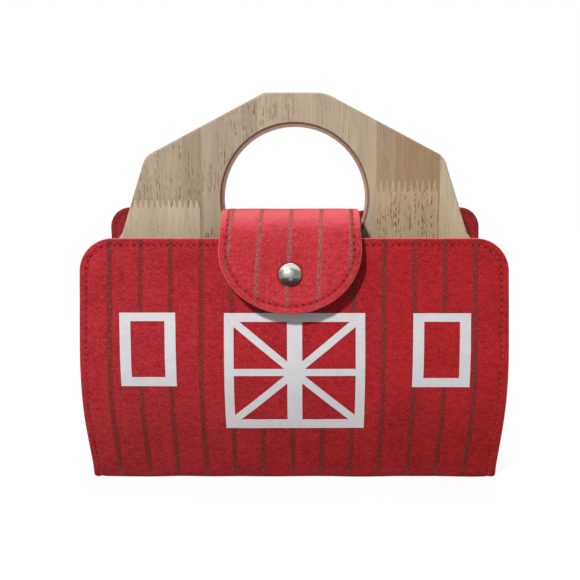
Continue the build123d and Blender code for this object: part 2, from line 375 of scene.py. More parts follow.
front_half_row = wall_row(*front_shape, base_seam)
front_row = front_half_row + mirrored(front_half_row)[::-1]
ear_half_row = wall_row(*back_shape, -base_seam)
ear_row_top = back_length - stitch_inset
from_slit = slit + 1.5 * mm
right_ear_row = [*ear_half_row, (flap_right + from_slit, ear_row_top)]
left_ear_row = mirrored([*ear_half_row, (from_slit - flap_left, ear_row_top)])
end_radii = (flap_half - stitch_inset, tongue_end_depth - stitch_inset)
flap_row_foot = back_foot - 5 * mm
flap_row = [(flap_right - stitch_inset, flap_row_foot)]
flap_row += arc((flap_offset, round_start), end_radii, 0, pi, 120)
flap_row.append((flap_left + stitch_inset, flap_row_foot))
seams = {front: [front_row], back: [right_ear_row, left_ear_row, flap_row]}


# %% How far along and beside a row a spot is
def row_pieces(row):
    """The straight pieces of a row, each with how far along the row it starts."""
    pieces, along = [], 0.0
    for a, b in zip(row, row[1:]):
        length = hypot(b[0] - a[0], b[1] - a[1])
        pieces.append((*a, *b, length, along))
        along += length
    return [piece for piece in pieces if piece[4] > 0]


seam_pieces = {side: [p for row in rows for p in row_pieces(row)] for side, rows in seams.items()}
seam_reach = 12 * mm


def beside_seam(side, u, v):
    """Distance along the nearest row of stitches, and distance from it."""
    along, off = 0.0, seam_reach
    for au, av, bu, bv, length, start in seam_pieces[side]:
        if not min(au, bu) - off < u < max(au, bu) + off:
            continue
        if not min(av, bv) - off < v < max(av, bv) + off:
            continue
        share = ((u - au) * (bu - au) + (v - av) * (bv - av)) / length**2
        share = min(max(share, 0.0), 1.0)
        away = hypot(u - au - share * (bu - au), v - av - share * (bv - av))
        if away < off:
            along, off = start + share * length, away
    return along, off


# %% [markdown]
# ## A ply of felt as a closed mesh
# A ply is a grid over its flat outline, laid twice, once for each face, and closed along
# its cut edge. The grid is fine near the edges, where the felt is rounded and stitched,
# and coarser in the middle. Each corner also keeps its place on the flat cloth as a UV
# map, in metres, which the felt and its printed stripes are drawn by.

# %% Grid lines
edge_steps = [0.0, 0.12, 0.35, 0.7, 1.1, 1.7, 2.4, 3.0, 3.6, 4.2, 4.8, 5.4, 6.2, 7.4, 9.0]
edge_steps = [step * mm for step in edge_steps]
edge_band = edge_steps[-1]
least_cell = 0.2 * mm
key_steps = 1e7
wall_cells, ear_cells, flap_cells, end_cells = 74, 24, 26, 40


def between(start, end, cells):
    """Evenly spaced values between two ends, both left out."""
    return [start + (end - start) * i / cells for i in range(1, cells)]


def steps(start, end, size):
    """Values between two ends, about this far apart."""
    return between(start, end, max(int(ceil((end - start) / size)), 1))


def across(left, right, cells):
    """Grid lines between two cut edges, fine beside both."""
    squeeze = min(1.0, (right - left) / (2.4 * edge_band))
    near = [left + e * squeeze for e in edge_steps]
    far = [right - e * squeeze for e in reversed(edge_steps)]
    return near + between(near[-1], far[0], cells) + far


def half_width(v, length, corner):
    """Half the width of a wall, drawn in at its rounded corners."""
    into = v - (length - corner)
    if into <= 0:
        return case_width / 2
    return case_width / 2 - corner + sqrt(max(corner**2 - into**2, 0.0))


def wall_rows(start, length, corner):
    """Rows up a wall: close at the fold and near the top edge, wider between."""
    foot = fold_half - fold_cut
    bend = foot + fold_round * fold_turn
    shoulder = length - corner
    rows = [start, *steps(start, foot, 2 * mm), foot, *steps(foot, bend, 0.8 * mm), bend]
    rows += [*steps(bend, shoulder, 3 * mm), shoulder]
    rows += steps(shoulder, length - edge_band, 1.5 * mm)
    return rows + [length - e for e in reversed(edge_steps)]


def patch(rows, columns_at):
    """A patch of the flat cloth as rows of (u, v), with the columns each row asks for."""
    return [[(u, v) for u in columns_at(v)] for v in rows]


# %% Build one ply
def link(name, data):
    """An object for a mesh, a lamp or a camera, in the scene."""
    piece = bpy.data.objects.new(name, data)
    bpy.context.scene.collection.objects.link(piece)
    return piece


def piece_from(name, shape):
    """An object with the faces of a shape, all facing out, and the shape is done with."""
    bmesh.ops.recalc_face_normals(shape, faces=shape.faces)
    mesh = bpy.data.meshes.new(name)
    shape.to_mesh(mesh)
    shape.free()
    print(name, len(mesh.polygons), "faces")
    return link(name, mesh)


def close_rim(shape, corners):
    """Joins the outer and inner grids of a ply along the cut edge."""
    keys = {vert: key for key, vert in corners.items()}
    open_edges = [edge for edge in shape.edges if len(edge.link_faces) == 1]
    for edge in open_edges:
        if keys[edge.verts[0]][2] == 1:
            continue
        a, b = edge.link_loops[0].vert, edge.link_loops[0].link_loop_next.vert
        inner_a, inner_b = corners[(*keys[a][:2], 1)], corners[(*keys[b][:2], 1)]
        shape.faces.new([b, a, inner_a, inner_b])


def ply_mesh(name, side, ply, patches):
    """A closed ply of cloth over patches of the flat outline."""
    shape = bmesh.new()
    flat = shape.loops.layers.uv.new("flat")
    corners, spots = {}, {}

    def corner(u, v, face):
        key = (round(u * key_steps), round(v * key_steps), face)
        if key not in corners:
            depth = ply_faces(ply, layout(side, u, v)[1])[face]
            corners[key] = shape.verts.new(cloth_point(side, u, v, depth))
            spots[corners[key]] = (u, v)
        return corners[key]

    for rows in patches:
        for low, high in zip(rows, rows[1:]):
            for i in range(len(low) - 1):
                ring = [low[i], low[i + 1], high[i + 1], high[i]]
                for face in (0, 1):
                    loop = list(dict.fromkeys(corner(u, v, face) for u, v in ring))
                    if len(loop) > 2:
                        shape.faces.new(loop if face else loop[::-1])
    close_rim(shape, corners)
    for made in shape.faces:
        made.smooth = True
        for loop in made.loops:
            loop[flat].uv = spots[loop.vert]
    seam = []
    for vert in shape.verts:
        edge = layout(side, *spots[vert])[1]
        seam += [*beside_seam(side, *spots[vert]), edge]
    piece = piece_from(name, shape)
    seam_data = piece.data.attributes.new("seam", "FLOAT_VECTOR", "POINT").data
    seam_data.foreach_set("vector", seam)
    return piece


# %% [markdown]
# ## The front wall
# The front wall leans out in a soft belly and ends in two rounded corners. Its mesh runs
# on a little under the base, so that the bend at the floor is one smooth piece.

# %% Make the front wall's two plies
def front_columns(v):
    half = half_width(v, *front_shape)
    return across(-half, half, wall_cells)


front_patch = patch(wall_rows(base_seam, *front_shape), front_columns)
front_felt = ply_mesh("front_wall_felt", front, "felt", [front_patch])
front_lining = ply_mesh("front_wall_lining", front, "lining", [front_patch])

# %% [markdown]
# ## The base, back wall and flap
# They are one piece of felt. At the top of the back wall the cloth is slit on both sides:
# the middle turns forward through the hand hole, and the corners stand up as two ears.

# %% Make the base, back wall and flap
def left_columns(v):
    return across(-half_width(v, *back_shape), flap_left - slit, ear_cells)


def right_columns(v):
    return across(flap_right + slit, half_width(v, *back_shape), ear_cells)


def back_columns(v):
    return left_columns(v) + across(flap_left, flap_right, flap_cells) + right_columns(v)


def flap_columns(v):
    down = max(v - round_start, 0.0) / tongue_end_depth
    share = sqrt(max(1 - down**2, 0.0))
    lines = across(flap_left, flap_right, flap_cells)
    return [flap_offset + (u - flap_offset) * share for u in lines]


all_rows = wall_rows(-base_seam, *back_shape)
wall_part = [v for v in all_rows if v < back_foot - least_cell] + [back_foot]
ear_part = [back_foot] + [v for v in all_rows if v > back_foot + least_cell]
flap_part = [back_foot, *steps(back_foot, round_start, 1.6 * mm)]
turns = [pi / (2 * end_cells) * i for i in range(end_cells + 1)]
flap_part += [round_start + tongue_end_depth * sin(turn) for turn in turns]
back_patches = [
    patch(wall_part, back_columns),
    patch(ear_part, left_columns),
    patch(ear_part, right_columns),
    patch(flap_part, flap_columns),
]
back_felt = ply_mesh("back_wall_and_flap_felt", back, "felt", back_patches)
back_lining = ply_mesh("back_wall_and_flap_lining", back, "lining", back_patches)

# %% [markdown]
# ## The stitching
# Each stitch is modelled: a short thread that rises from one hole and dives into the
# next, outside on the felt and again inside on the lining, at an even pitch.

# %% Set stitches along a path
stitch_pitch = 3.7 * mm
stitch_gap = 0.6 * mm
stitch_long = stitch_pitch - stitch_gap
thread_radius = 0.3 * mm
thread_round = 2 * mm
thread_flat = 0.85
look_ahead = 0.05 * mm
thread_end = 0.75
thread_dive = 0.45 * mm
thread_arch = 0.5 * mm
thread_sway = 0.12
thread_rings, thread_sides = 7, 8


def evenly(path, pitch):
    """Points on a path at an even pitch."""
    found, spare = [], pitch / 2
    for a, b in zip(path, path[1:]):
        a, b = Vector(a), Vector(b)
        length = (b - a).length
        while spare <= length:
            found.append(a + (b - a) * (spare / length))
            spare += pitch
        spare -= length
    return found


def thread_height(share):
    """Height of the thread's middle over the groove, along one stitch from 0 to 1."""
    arch = 1 - (2 * share - 1) ** 4
    return -thread_dive + thread_arch * arch


def add_stitch(shape, flat, side, inside, start, end):
    """One stitch between two spots of the flat cloth, as a closed bowed tube."""
    rings = []
    outer, inner = ply_faces("felt", stitch_inset)[0], ply_faces("lining", stitch_inset)[1]
    depth = inner if inside else outer
    ahead = (end - start).normalized() * look_ahead
    for i in range(thread_rings):
        share = i / (thread_rings - 1)
        u, v = start + (end - start) * share
        out = cloth_normal(side, u, v) * (-1 if inside else 1)
        middle = cloth_point(side, u, v, depth) + out * thread_height(share)
        along = cloth_point(side, u + ahead.x, v + ahead.y, depth)
        along = (along - cloth_point(side, u, v, depth)).normalized()
        beside = along.cross(out).normalized()
        slim = thread_end + (1 - thread_end) * sin(pi * share)
        ring = []
        for k in range(thread_sides):
            turn = 2 * pi * k / thread_sides
            spoke = beside * cos(turn) + out * sin(turn) * thread_flat
            ring.append(shape.verts.new(middle + spoke * thread_radius * slim))
        rings.append(ring)
    for i, (low, high) in enumerate(zip(rings, rings[1:])):
        for k in range(thread_sides):
            after = (k + 1) % thread_sides
            made = shape.faces.new([low[k], low[after], high[after], high[k]])
            made.smooth = True
            spots = [(i, k), (i, k + 1), (i + 1, k + 1), (i + 1, k)]
            for loop, (on, around) in zip(made.loops, spots):
                run = on * stitch_long / (thread_rings - 1)
                loop[flat].uv = (run, around / thread_sides * thread_round)
    shape.faces.new(rings[0])
    shape.faces.new(rings[-1][::-1])


def stitches(name, side, paths):
    """All the stitches of one part of the case as one piece."""
    shape = bmesh.new()
    flat = shape.loops.layers.uv.new("flat")
    chance = random.Random(name)
    for path in paths:
        spots = evenly(path, stitch_pitch)
        for a, b in zip(spots, spots[1:]):
            sway = Vector([chance.uniform(-thread_sway, thread_sway) for _ in range(2)]) * mm
            reach = (b - a) * (stitch_long / stitch_pitch)
            for inside in (False, True):
                add_stitch(shape, flat, side, inside, a + sway, a + sway + reach)
    return piece_from(name, shape)


front_stitches = stitches("front_wall_stitches", front, [front_row])
back_stitches = stitches("back_wall_stitches", back, [right_ear_row, left_ear_row])
flap_stitches = stitches("flap_stitches", back, [flap_row])

# %% [markdown]
# ## The white barn door and windows
# They are a thin white film pressed onto the felt. Each outline is drawn flat as seen
# from the front, with the openings that the bars leave between them. The filled outline
# is then cut into small cells, laid on the curved felt and given its thickness.

# %% Outlines of the door and the windows
film = 0.35 * mm
film_root = 0.1 * mm
door_side_bar = 5.3 * mm
door_top_bar = 4.9 * mm
door_bottom_bar = 5.5 * mm
door_middle_bar = 8.4 * mm
door_rail = 4.0 * mm
door_rail_up = 0.5 * mm
door_brace = 4.2 * mm
window_side_bar = 6.1 * mm
window_top_bar = 4.7 * mm
window_bottom_bar = 5.2 * mm
# Where each film was pressed, in mm: in from the left, bottom, right and top of its
# packed trim, and how far its lower end is set over to the right
film_fit = {
    "door_trim": (0.5, 0.85, 0.0, 0.25, 0.2),
    "window_trim_left": (1.3, 1.0, 0.1, 0.0, 0.6),
    "window_trim_right": (0.25, 0.4, 0.1, 0.35, -0.35),
}


def rectangle(left, bottom, right, top):
    return [(left, bottom), (right, bottom), (right, top), (left, top)]


def clipped(outline, normal, offset):
    """The part of an outline on the far side of a line across this direction."""
    kept = []
    for a, b in zip(outline, outline[1:] + outline[:1]):
        over_a = a[0] * normal[0] + a[1] * normal[1] - offset
        over_b = b[0] * normal[0] + b[1] * normal[1] - offset
        if over_a >= 0:
            kept.append(a)
        if over_a * over_b < 0:
            share = over_a / (over_a - over_b)
            kept.append((a[0] + (b[0] - a[0]) * share, a[1] + (b[1] - a[1]) * share))
    return kept


def trim_frame(node):
    """Centre and half sizes of a film, seen from the front."""
    low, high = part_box(node)
    from_left, from_bottom, from_right, from_top, _ = film_fit[node]
    left, right = low.x + from_left * mm, high.x - from_right * mm
    bottom, top = low.z + from_bottom * mm, high.z - from_top * mm
    return ((left + right) / 2, (bottom + top) / 2), (right - left) / 2, (top - bottom) / 2


def set_over(node, loops):
    """Outlines with their lower end set over to one side."""
    (_, middle), _, tall = trim_frame(node)
    over = film_fit[node][4] * mm
    return [[(x - over * (z - middle) / (2 * tall), z) for x, z in loop] for loop in loops]


def braced_openings(wide, tall):
    """The openings on either side of the brace in one quarter of the door."""
    corner = rectangle(door_middle_bar / 2, door_rail / 2, wide, tall)
    above = (-tall / hypot(wide, tall), wide / hypot(wide, tall))
    below = (-above[0], -above[1])
    return [clipped(corner, normal, door_brace / 2) for normal in (above, below)]


def door_loops():
    """The outside of the door and the eight openings between its bars."""
    (x, z), half_wide, half_tall = trim_frame("door_trim")
    rail_z = z + door_rail_up
    loops = [rectangle(x - half_wide, z - half_tall, x + half_wide, z + half_tall)]
    for way_z, bar in ((-1, door_bottom_bar), (1, door_top_bar)):
        tall = half_tall - bar - way_z * door_rail_up
        for opening in braced_openings(half_wide - door_side_bar, tall):
            for way_x in (-1, 1):
                loops.append([(x + way_x * right, rail_z + way_z * up) for right, up in opening])
    return set_over("door_trim", loops)


def window_loops(node):
    """The outside of a window frame and its pane."""
    (x, z), wide, tall = trim_frame(node)
    pane_wide = wide - window_side_bar
    pane_low, pane_high = z - tall + window_bottom_bar, z + tall - window_top_bar
    pane = rectangle(x - pane_wide, pane_low, x + pane_wide, pane_high)
    return set_over(node, [rectangle(x - wide, z - tall, x + wide, z + tall), pane])


# %% Lay a film on the front wall
cell = 1.6 * mm


def run_at(height):
    """How far along the strip the front wall's outer face is at this height."""
    low, high = fold_half, front_length
    for _ in range(30):
        middle = (low + high) / 2
        if walk(front_legs, middle)[1] < height:
            low = middle
        else:
            high = middle
    return low


def cut_into_cells(shape):
    """Cuts a flat filled outline along a square grid."""
    low = Vector([min(vert.co[i] for vert in shape.verts) for i in range(3)])
    high = Vector([max(vert.co[i] for vert in shape.verts) for i in range(3)])
    for axis in (0, 1):
        normal = [1.0 if i == axis else 0.0 for i in range(3)]
        for place in steps(low[axis], high[axis], cell):
            everything = [*shape.verts, *shape.edges, *shape.faces]
            spot = [place if i == axis else 0.0 for i in range(3)]
            bmesh.ops.bisect_plane(shape, geom=everything, plane_co=spot, plane_no=normal)


def put_in_order(shape):
    """Sorts the faces by their first corners, so that every run has them in one order."""
    shape.verts.index_update()
    count = len(shape.verts)
    shape.faces.sort(key=lambda made: made.verts[0].index * count + made.verts[1].index)


def film_mesh(name, loops):
    """A film with this outline and these openings, pressed on the front wall's felt."""
    shape = bmesh.new()
    flat = shape.loops.layers.uv.new("flat")
    for loop in loops:
        verts = [shape.verts.new((x, z, 0)) for x, z in loop]
        for a, b in zip(verts, verts[1:] + verts[:1]):
            shape.edges.new((a, b))
    bmesh.ops.triangle_fill(shape, edges=shape.edges, use_beauty=True, normal=(0, 0, 1))
    cut_into_cells(shape)
    bmesh.ops.dissolve_degenerate(shape, edges=shape.edges, dist=0.01 * mm)
    sheet = list(shape.faces)
    grown = bmesh.ops.extrude_face_region(shape, geom=sheet)
    raised = {item for item in grown["geom"] if isinstance(item, bmesh.types.BMVert)}
    spots = {vert: (vert.co.x, run_at(vert.co.y)) for vert in shape.verts}
    for vert in shape.verts:
        u, v = spots[vert]
        vert.co = cloth_point(front, u, v, -film if vert in raised else film_root)
    for made in shape.faces:
        for loop in made.loops:
            loop[flat].uv = spots[loop.vert]
    put_in_order(shape)
    return piece_from(name, shape)


door_film = film_mesh("barn_door_film", door_loops())
window_films = [
    film_mesh(f"window_film_{way}", window_loops(f"window_trim_{way}"))
    for way in ("left", "right")
]

# %% [markdown]
# ## The handle board
# The board is sawn to a gambrel outline with a round hand hole, and its edges are eased
# by sanding. A flat curve with a bevel makes just that: an even thickness, with the same
# small round along the outline and the hole.

# %% The board's outline
board_ease = 1.2 * mm
hole_radius = 43.0 * mm
wood_over_hole = 17.7 * mm
shoulder = (105.2 * mm, 141.4 * mm)
eave = (102.4 * mm, 145.0 * mm)
knuckle = (87.4 * mm, 189.7 * mm)
ridge = (17.4 * mm, 226.0 * mm)
# Radii of the corners in mm, from the right foot over the ridge to the left foot
corner_rounds = [0, 0, 3, 11, 22, 7, 11, 3, 0, 0]
board_low, board_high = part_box("handle_board")
board_foot = board_low.z
board_thick = board_high.y - board_low.y
hole_height = board_high.z - wood_over_hole - hole_radius


def rounded_corner(before, at, after, radius, count=12):
    """Points of the arc that replaces a corner."""
    before, at, after = Vector(before), Vector(at), Vector(after)
    back, on = (before - at).normalized(), (after - at).normalized()
    half_angle = back.angle(on) / 2
    reach = radius / (sin(half_angle) / cos(half_angle))
    middle = at + (back + on).normalized() * (radius / sin(half_angle))
    first, last = at + back * reach, at + on * reach
    points = []
    for i in range(count + 1):
        spoke = (first - middle).lerp(last - middle, i / count)
        points.append(middle + spoke.normalized() * radius)
    return points


def board_outline():
    """The gambrel outline as (x, z) points, from the right foot over the ridge."""
    right = [(shoulder[0], board_foot), shoulder, eave, knuckle, ridge]
    corners = right + [(-x, z) for x, z in reversed(right)]
    outline = []
    for i, (corner, radius) in enumerate(zip(corners, corner_rounds)):
        if radius:
            after = corners[(i + 1) % len(corners)]
            outline += rounded_corner(corners[i - 1], corner, after, radius * mm)
        else:
            outline.append(Vector(corner))
    return outline


# %% Make the board
hole_points = 128


def board_mesh():
    """The board from a flat curve: outline and hole, thickness and eased edges."""
    curve = bpy.data.curves.new("board_curve", "CURVE")
    curve.dimensions = "2D"
    curve.fill_mode = "BOTH"
    turns = [2 * pi * i / hole_points for i in range(hole_points)]
    hole = [Vector((hole_radius * cos(t), hole_height + hole_radius * sin(t))) for t in turns]
    for loop in (board_outline(), hole):
        spline = curve.splines.new("POLY")
        spline.points.add(len(loop) - 1)
        for point, spot in zip(spline.points, loop):
            point.co = (spot.x, spot.y, 0, 1)
        spline.use_cyclic_u = True
    curve.extrude = board_thick / 2 - board_ease
    curve.bevel_depth = board_ease
    curve.bevel_resolution = 3
    curve.offset = -board_ease
    holder = link("board_curve", curve)
    ready = holder.evaluated_get(bpy.context.evaluated_depsgraph_get())
    mesh = bpy.data.meshes.new_from_object(ready)
    bpy.data.objects.remove(holder)
    mesh.transform(Matrix.Rotation(pi / 2, 4, "X"))
    # Only the eased edges and the hole are shaded smooth, not the two faces
    for polygon in mesh.polygons:
        polygon.use_smooth = abs(polygon.normal.y) < 0.999
    mesh.set_sharp_from_angle(angle=radians(35))
    mesh.name = "board"
    print("board", len(mesh.polygons), "faces")
    return mesh


board = link("gambrel_board", board_mesh())

# %% [markdown]
# ## The press stud
# The stud's pieces are turned shapes; here the cap is made, a half outline spun round
# its axis. It is a shallow dome with a rolled rim, which mirrors the room round it.

# %% A turned piece
cap_radius = 6.25 * mm
cap_height = 2.7 * mm
turned_sides = 72


def turned(name, outline, place):
    """A piece spun from (radius, height) points, set by a placing matrix."""
    shape = bmesh.new()
    rings = []
    for radius, height in outline:
        if radius < hair:
            rings.append([shape.verts.new((0, 0, height))] * turned_sides)
            continue
        turns = [2 * pi * k / turned_sides for k in range(turned_sides)]
        rings.append([shape.verts.new((radius * cos(t), radius * sin(t), height)) for t in turns])
    for low, high in zip(rings, rings[1:]):
        for k in range(turned_sides):
            after = (k + 1) % turned_sides
            loop = list(dict.fromkeys([low[k], low[after], high[after], high[k]]))
            shape.faces.new(loop).smooth = True
    piece = piece_from(name, shape)
    piece.data.set_sharp_from_angle(angle=radians(40))
    piece.data.transform(place)
    return piece


def facing(side, u, v, depth):
    """A placing matrix on the cloth: z straight out of its face, x to the right."""
    out, up, _ = walk(layout(side, u, v)[0], v, depth)
    z = cloth_normal(side, u, v)
    x = Vector((1, 0, 0))
    rows = Matrix((x, z.cross(x), z)).transposed().to_4x4()
    return Matrix.Translation(Vector((u, side * out, up))) @ rows


# %% The cap
rim_roll = 0.45 * mm
rim_inset = 0.25 * mm
rim_lip = 1.2 * mm
dome_steps = 14
dome_rim = cap_radius - rim_inset
dome_base = 2 * rim_roll * 0.8
dome_rise = cap_height - dome_base
dome_radius = (dome_rim**2 + dome_rise**2) / (2 * dome_rise)


def cap_outline():
    """From the middle of the dome out over the rolled rim and back underneath."""
    dome = []
    for i in range(dome_steps):
        radius = dome_rim * i / dome_steps
        height = cap_height - dome_radius + sqrt(dome_radius**2 - radius**2)
        dome.append((radius, height))
    middle = (cap_radius - rim_roll, rim_roll)
    turns = [pi * (0.3 - 0.1 * i) for i in range(9)]
    roll = [(middle[0] + rim_roll * cos(t), middle[1] + rim_roll * sin(t)) for t in turns]
    return dome + roll + [(cap_radius - rim_lip, 0.0)]


cap = turned("press_stud_cap", cap_outline(), facing(back, flap_offset, snap_run, 0.0))

# %% [markdown]
# ## Helpers for materials
# A material is a tree of nodes. `add` makes a node and fills its inputs, `calc` is one
# step of arithmetic, and `vectors` is one on places. An effect that several finishes share
# is a node group with named sockets, so that each finish can use it with its own values.

# %% Adding nodes
def add(tree, kind, inputs=(), **settings):
    """A node of this kind, with inputs by name or in order, as values or sockets."""
    made = tree.nodes.new(kind)
    for name, value in settings.items():
        setattr(made, name, value)
    pairs = inputs.items() if isinstance(inputs, dict) else enumerate(inputs)
    for key, value in pairs:
        fill(tree, made.inputs[key], value)
    return made


def fill(tree, socket, value):
    """Links a socket into an input, or sets a plain value on it."""
    if isinstance(value, bpy.types.NodeSocket):
        tree.links.new(value, socket)
    elif value is not None:
        socket.default_value = value


def calc(tree, operation, *values):
    """One step of arithmetic on values or sockets."""
    return add(tree, "ShaderNodeMath", values, operation=operation).outputs[0]


def plus(tree, first, *others):
    for value in others:
        first = calc(tree, "ADD", first, value)
    return first


def minus(tree, first, second):
    return calc(tree, "SUBTRACT", first, second)


def times(tree, first, *others):
    for value in others:
        first = calc(tree, "MULTIPLY", first, value)
    return first


def vectors(tree, operation, *values):
    """One step of arithmetic on places, directions or colours."""
    made = add(tree, "ShaderNodeVectorMath", values, operation=operation)
    return made.outputs["Value" if operation in ("LENGTH", "DISTANCE") else "Vector"]


def scaled(tree, vector, amount):
    inputs = {"Vector": vector, "Scale": amount}
    return add(tree, "ShaderNodeVectorMath", inputs, operation="SCALE").outputs["Vector"]


def parts_of(tree, vector):
    """The three parts of a vector."""
    return add(tree, "ShaderNodeSeparateXYZ", [vector]).outputs


def flat_place(tree):
    """Where a spot is on the flat cloth."""
    return add(tree, "ShaderNodeUVMap", uv_map="flat").outputs[0]


def object_place(tree):
    """Where a spot is in the object's own space."""
    return add(tree, "ShaderNodeTexCoord").outputs["Object"]


# %% Blending and noise
def mix(tree, share, low, high, blend="MIX"):
    """A colour between two colours."""
    made = add(tree, "ShaderNodeMix", {"Factor": share}, data_type="RGBA", blend_type=blend)
    fill(tree, made.inputs[6], low)
    fill(tree, made.inputs[7], high)
    return made.outputs[2]


def ramp(tree, value, start, end, low=0.0, high=1.0):
    """A value moved from one range to another, smoothly and within its ends."""
    inputs = {"Value": value, "From Min": start, "From Max": end, "To Min": low, "To Max": high}
    return add(tree, "ShaderNodeMapRange", inputs, interpolation_type="SMOOTHSTEP").outputs[0]


def grown(tree, place, size, turn=0.0, detail=2.0, rough=0.5):
    """Noise whose blots have these sizes along x, y and z, with the grain turned first."""
    inputs = {"Vector": place, "Rotation": (0, 0, turn), "Scale": size}
    shape = add(tree, "ShaderNodeMapping", inputs, vector_type="TEXTURE")
    inputs = {"Vector": shape.outputs[0], "Scale": 1.0, "Detail": detail, "Roughness": rough}
    return add(tree, "ShaderNodeTexNoise", inputs).outputs["Fac"]


# %% Effects and materials
def effect(name, inputs, outputs):
    """An empty node group with named sockets, and its two end nodes."""
    print("effect:", name)
    group = bpy.data.node_groups.new(name, "ShaderNodeTree")
    for label, (kind, value) in inputs.items():
        socket = group.interface.new_socket(label, in_out="INPUT", socket_type="NodeSocket" + kind)
        if value is not None:
            socket.default_value = value
    for label, kind in outputs.items():
        group.interface.new_socket(label, in_out="OUTPUT", socket_type="NodeSocket" + kind)
    return group, group.nodes.new("NodeGroupInput").outputs, group.nodes.new("NodeGroupOutput")


def give(group, end, **results):
    """Links an effect's results to its outputs."""
    for label, socket in results.items():
        group.links.new(socket, end.inputs[label])


def use(tree, group, **inputs):
    """Places an effect in a material and returns its outputs."""
    named = {key.replace("_", " "): value for key, value in inputs.items()}
    return add(tree, "ShaderNodeGroup", named, node_tree=group).outputs


def new_material(name, **values):
    """A material with its shader, whose plain values are set on the shader itself."""
    print("finish:", name)
    made = bpy.data.materials.new(name)
    made.use_nodes = True
    shader = made.node_tree.nodes["Principled BSDF"]
    for key, value in values.items():
        shader.inputs[key.replace("_", " ")].default_value = value
    return made, made.node_tree, shader


def bump(tree, shader, height, distance, strength=1.0):
    """Roughens a surface by a height, in metres at full height."""
    inputs = {"Height": height, "Distance": distance, "Strength": strength}
    fill(tree, shader.inputs["Normal"], add(tree, "ShaderNodeBump", inputs).outputs[0])


def screen(red, green, blue):
    """A colour as a shader wants it, from the 0 to 255 seen on a screen."""
    return (*[((c / 255 + 0.055) / 1.055) ** 2.4 for c in (red, green, blue)], 1.0)


def wear(finish, *pieces):
    """Gives pieces one finish all over."""
    for piece in pieces:
        piece.data.materials.clear()
        piece.data.materials.append(finish)


# %% [markdown]
# ## Felt
# Pressed felt has no weave. Short fibres lie every way over a body of matted wool, with
# slightly deeper and paler blots, and a few loose ends catch the light. The fibres are
# noise stretched long and thin in several directions, in the flat cloth's own sizes.

# %% The effect of matted fibres
fibre_runs = ((0.1, 2.6), (1.2, 1.6), (2.3, 1.7), (2.9, 2.4))
fibre_thick = 0.28 * mm
fibre_curl = 1.4 * mm


def make_fibres():
    """Fibres of several directions over a blotched body; runs are (turn, length in mm)."""
    group, given, end = effect(
        "matted fibres",
        {
            "Place": ("Vector", None),
            "Deep": ("Color", None),
            "Body": ("Color", None),
            "Fluff": ("Color", None),
            "Fluff amount": ("Float", 0.4),
        },
        {"Colour": "Color", "Height": "Float"},
    )
    place = given["Place"]
    curl = add(group, "ShaderNodeTexNoise", {"Vector": place, "Scale": 450.0}).outputs["Color"]
    curl = scaled(group, vectors(group, "SUBTRACT", curl, (0.5,) * 3), fibre_curl)
    bent = vectors(group, "ADD", place, curl)
    strands = None
    for turn, long in fibre_runs:
        layer = ramp(group, grown(group, bent, (long * mm, fibre_thick, mm), turn), 0.5, 0.72)
        strands = layer if strands is None else calc(group, "MAXIMUM", strands, layer)
    grain = grown(group, place, (0.55 * mm, 0.45 * mm, mm), 0.3, 3.0, 0.6)
    blots = grown(group, place, (4.5 * mm, 2.6 * mm, mm), 0.0, 3.0, 0.6)
    wide = grown(group, place, (26 * mm, 19 * mm, mm))
    shares = times(group, grain, 0.55), times(group, blots, 0.3), times(group, wide, 0.15)
    colour = mix(group, ramp(group, plus(group, *shares), 0.34, 0.62), given["Deep"], given["Body"])
    loose = times(group, ramp(group, strands, 0.45, 1.0), given["Fluff amount"])
    colour = mix(group, loose, colour, given["Fluff"])
    height = plus(group, times(group, grain, 0.6), times(group, strands, 0.4))
    give(group, end, Colour=colour, Height=height)
    return group


matted_fibres = make_fibres()

# %% [markdown]
# ## Printed stripes
# Thin brown lines are printed up the cloth like the boards of a barn. The ink sits on
# the fibres, so its edges are ragged and it misses a fibre here and there. The lines stop
# at the white film, and none is printed inside the door and the windows.

# %% The effect of printed stripes
stripe_pitch = 17.0 * mm
stripe_shift = -1.0 * mm
stripe_reach = 110 * mm
wall_stripe = 2.8 * mm
flap_stripe = 2.3 * mm
flap_lean = 0.05
ink_creep = 1.3 * mm


def make_stripes():
    """Upright ragged lines, which lean over past a start and end at a reach."""
    group, given, end = effect(
        "printed stripes",
        {
            "Place": ("Vector", None),
            "Pitch": ("Float", stripe_pitch),
            "Width": ("Float", wall_stripe),
            "Shift": ("Float", 0.0),
            "Lean": ("Float", 0.0),
            "Lean start": ("Float", 0.0),
            "Reach": ("Float", stripe_reach),
        },
        {"Mask": "Float"},
    )
    place = given["Place"]
    over, run, _ = parts_of(group, place)
    past = calc(group, "MAXIMUM", minus(group, run, given["Lean start"]), 0.0)
    line = plus(group, minus(group, over, given["Shift"]), times(group, past, given["Lean"]))
    count = calc(group, "DIVIDE", line, given["Pitch"])
    off = calc(group, "ABSOLUTE", minus(group, count, calc(group, "ROUND", count)))
    ragged = grown(group, place, (0.7 * mm, 0.6 * mm, mm), 0.0, 3.0, 0.7)
    creep = times(group, minus(group, ragged, 0.5), ink_creep)
    off = plus(group, times(group, off, given["Pitch"]), creep)
    beyond = minus(group, off, times(group, given["Width"], 0.5))
    inked = ramp(group, beyond, 0.55 * mm, -0.45 * mm)
    near = calc(group, "LESS_THAN", calc(group, "ABSOLUTE", line), given["Reach"])
    missed = ramp(group, grown(group, place, (0.9 * mm, 0.3 * mm, mm), 0.2), 0.38, 0.52)
    kept = calc(group, "MULTIPLY_ADD", missed, 0.3, 0.7)
    give(group, end, Mask=times(group, inked, near, kept))
    return group


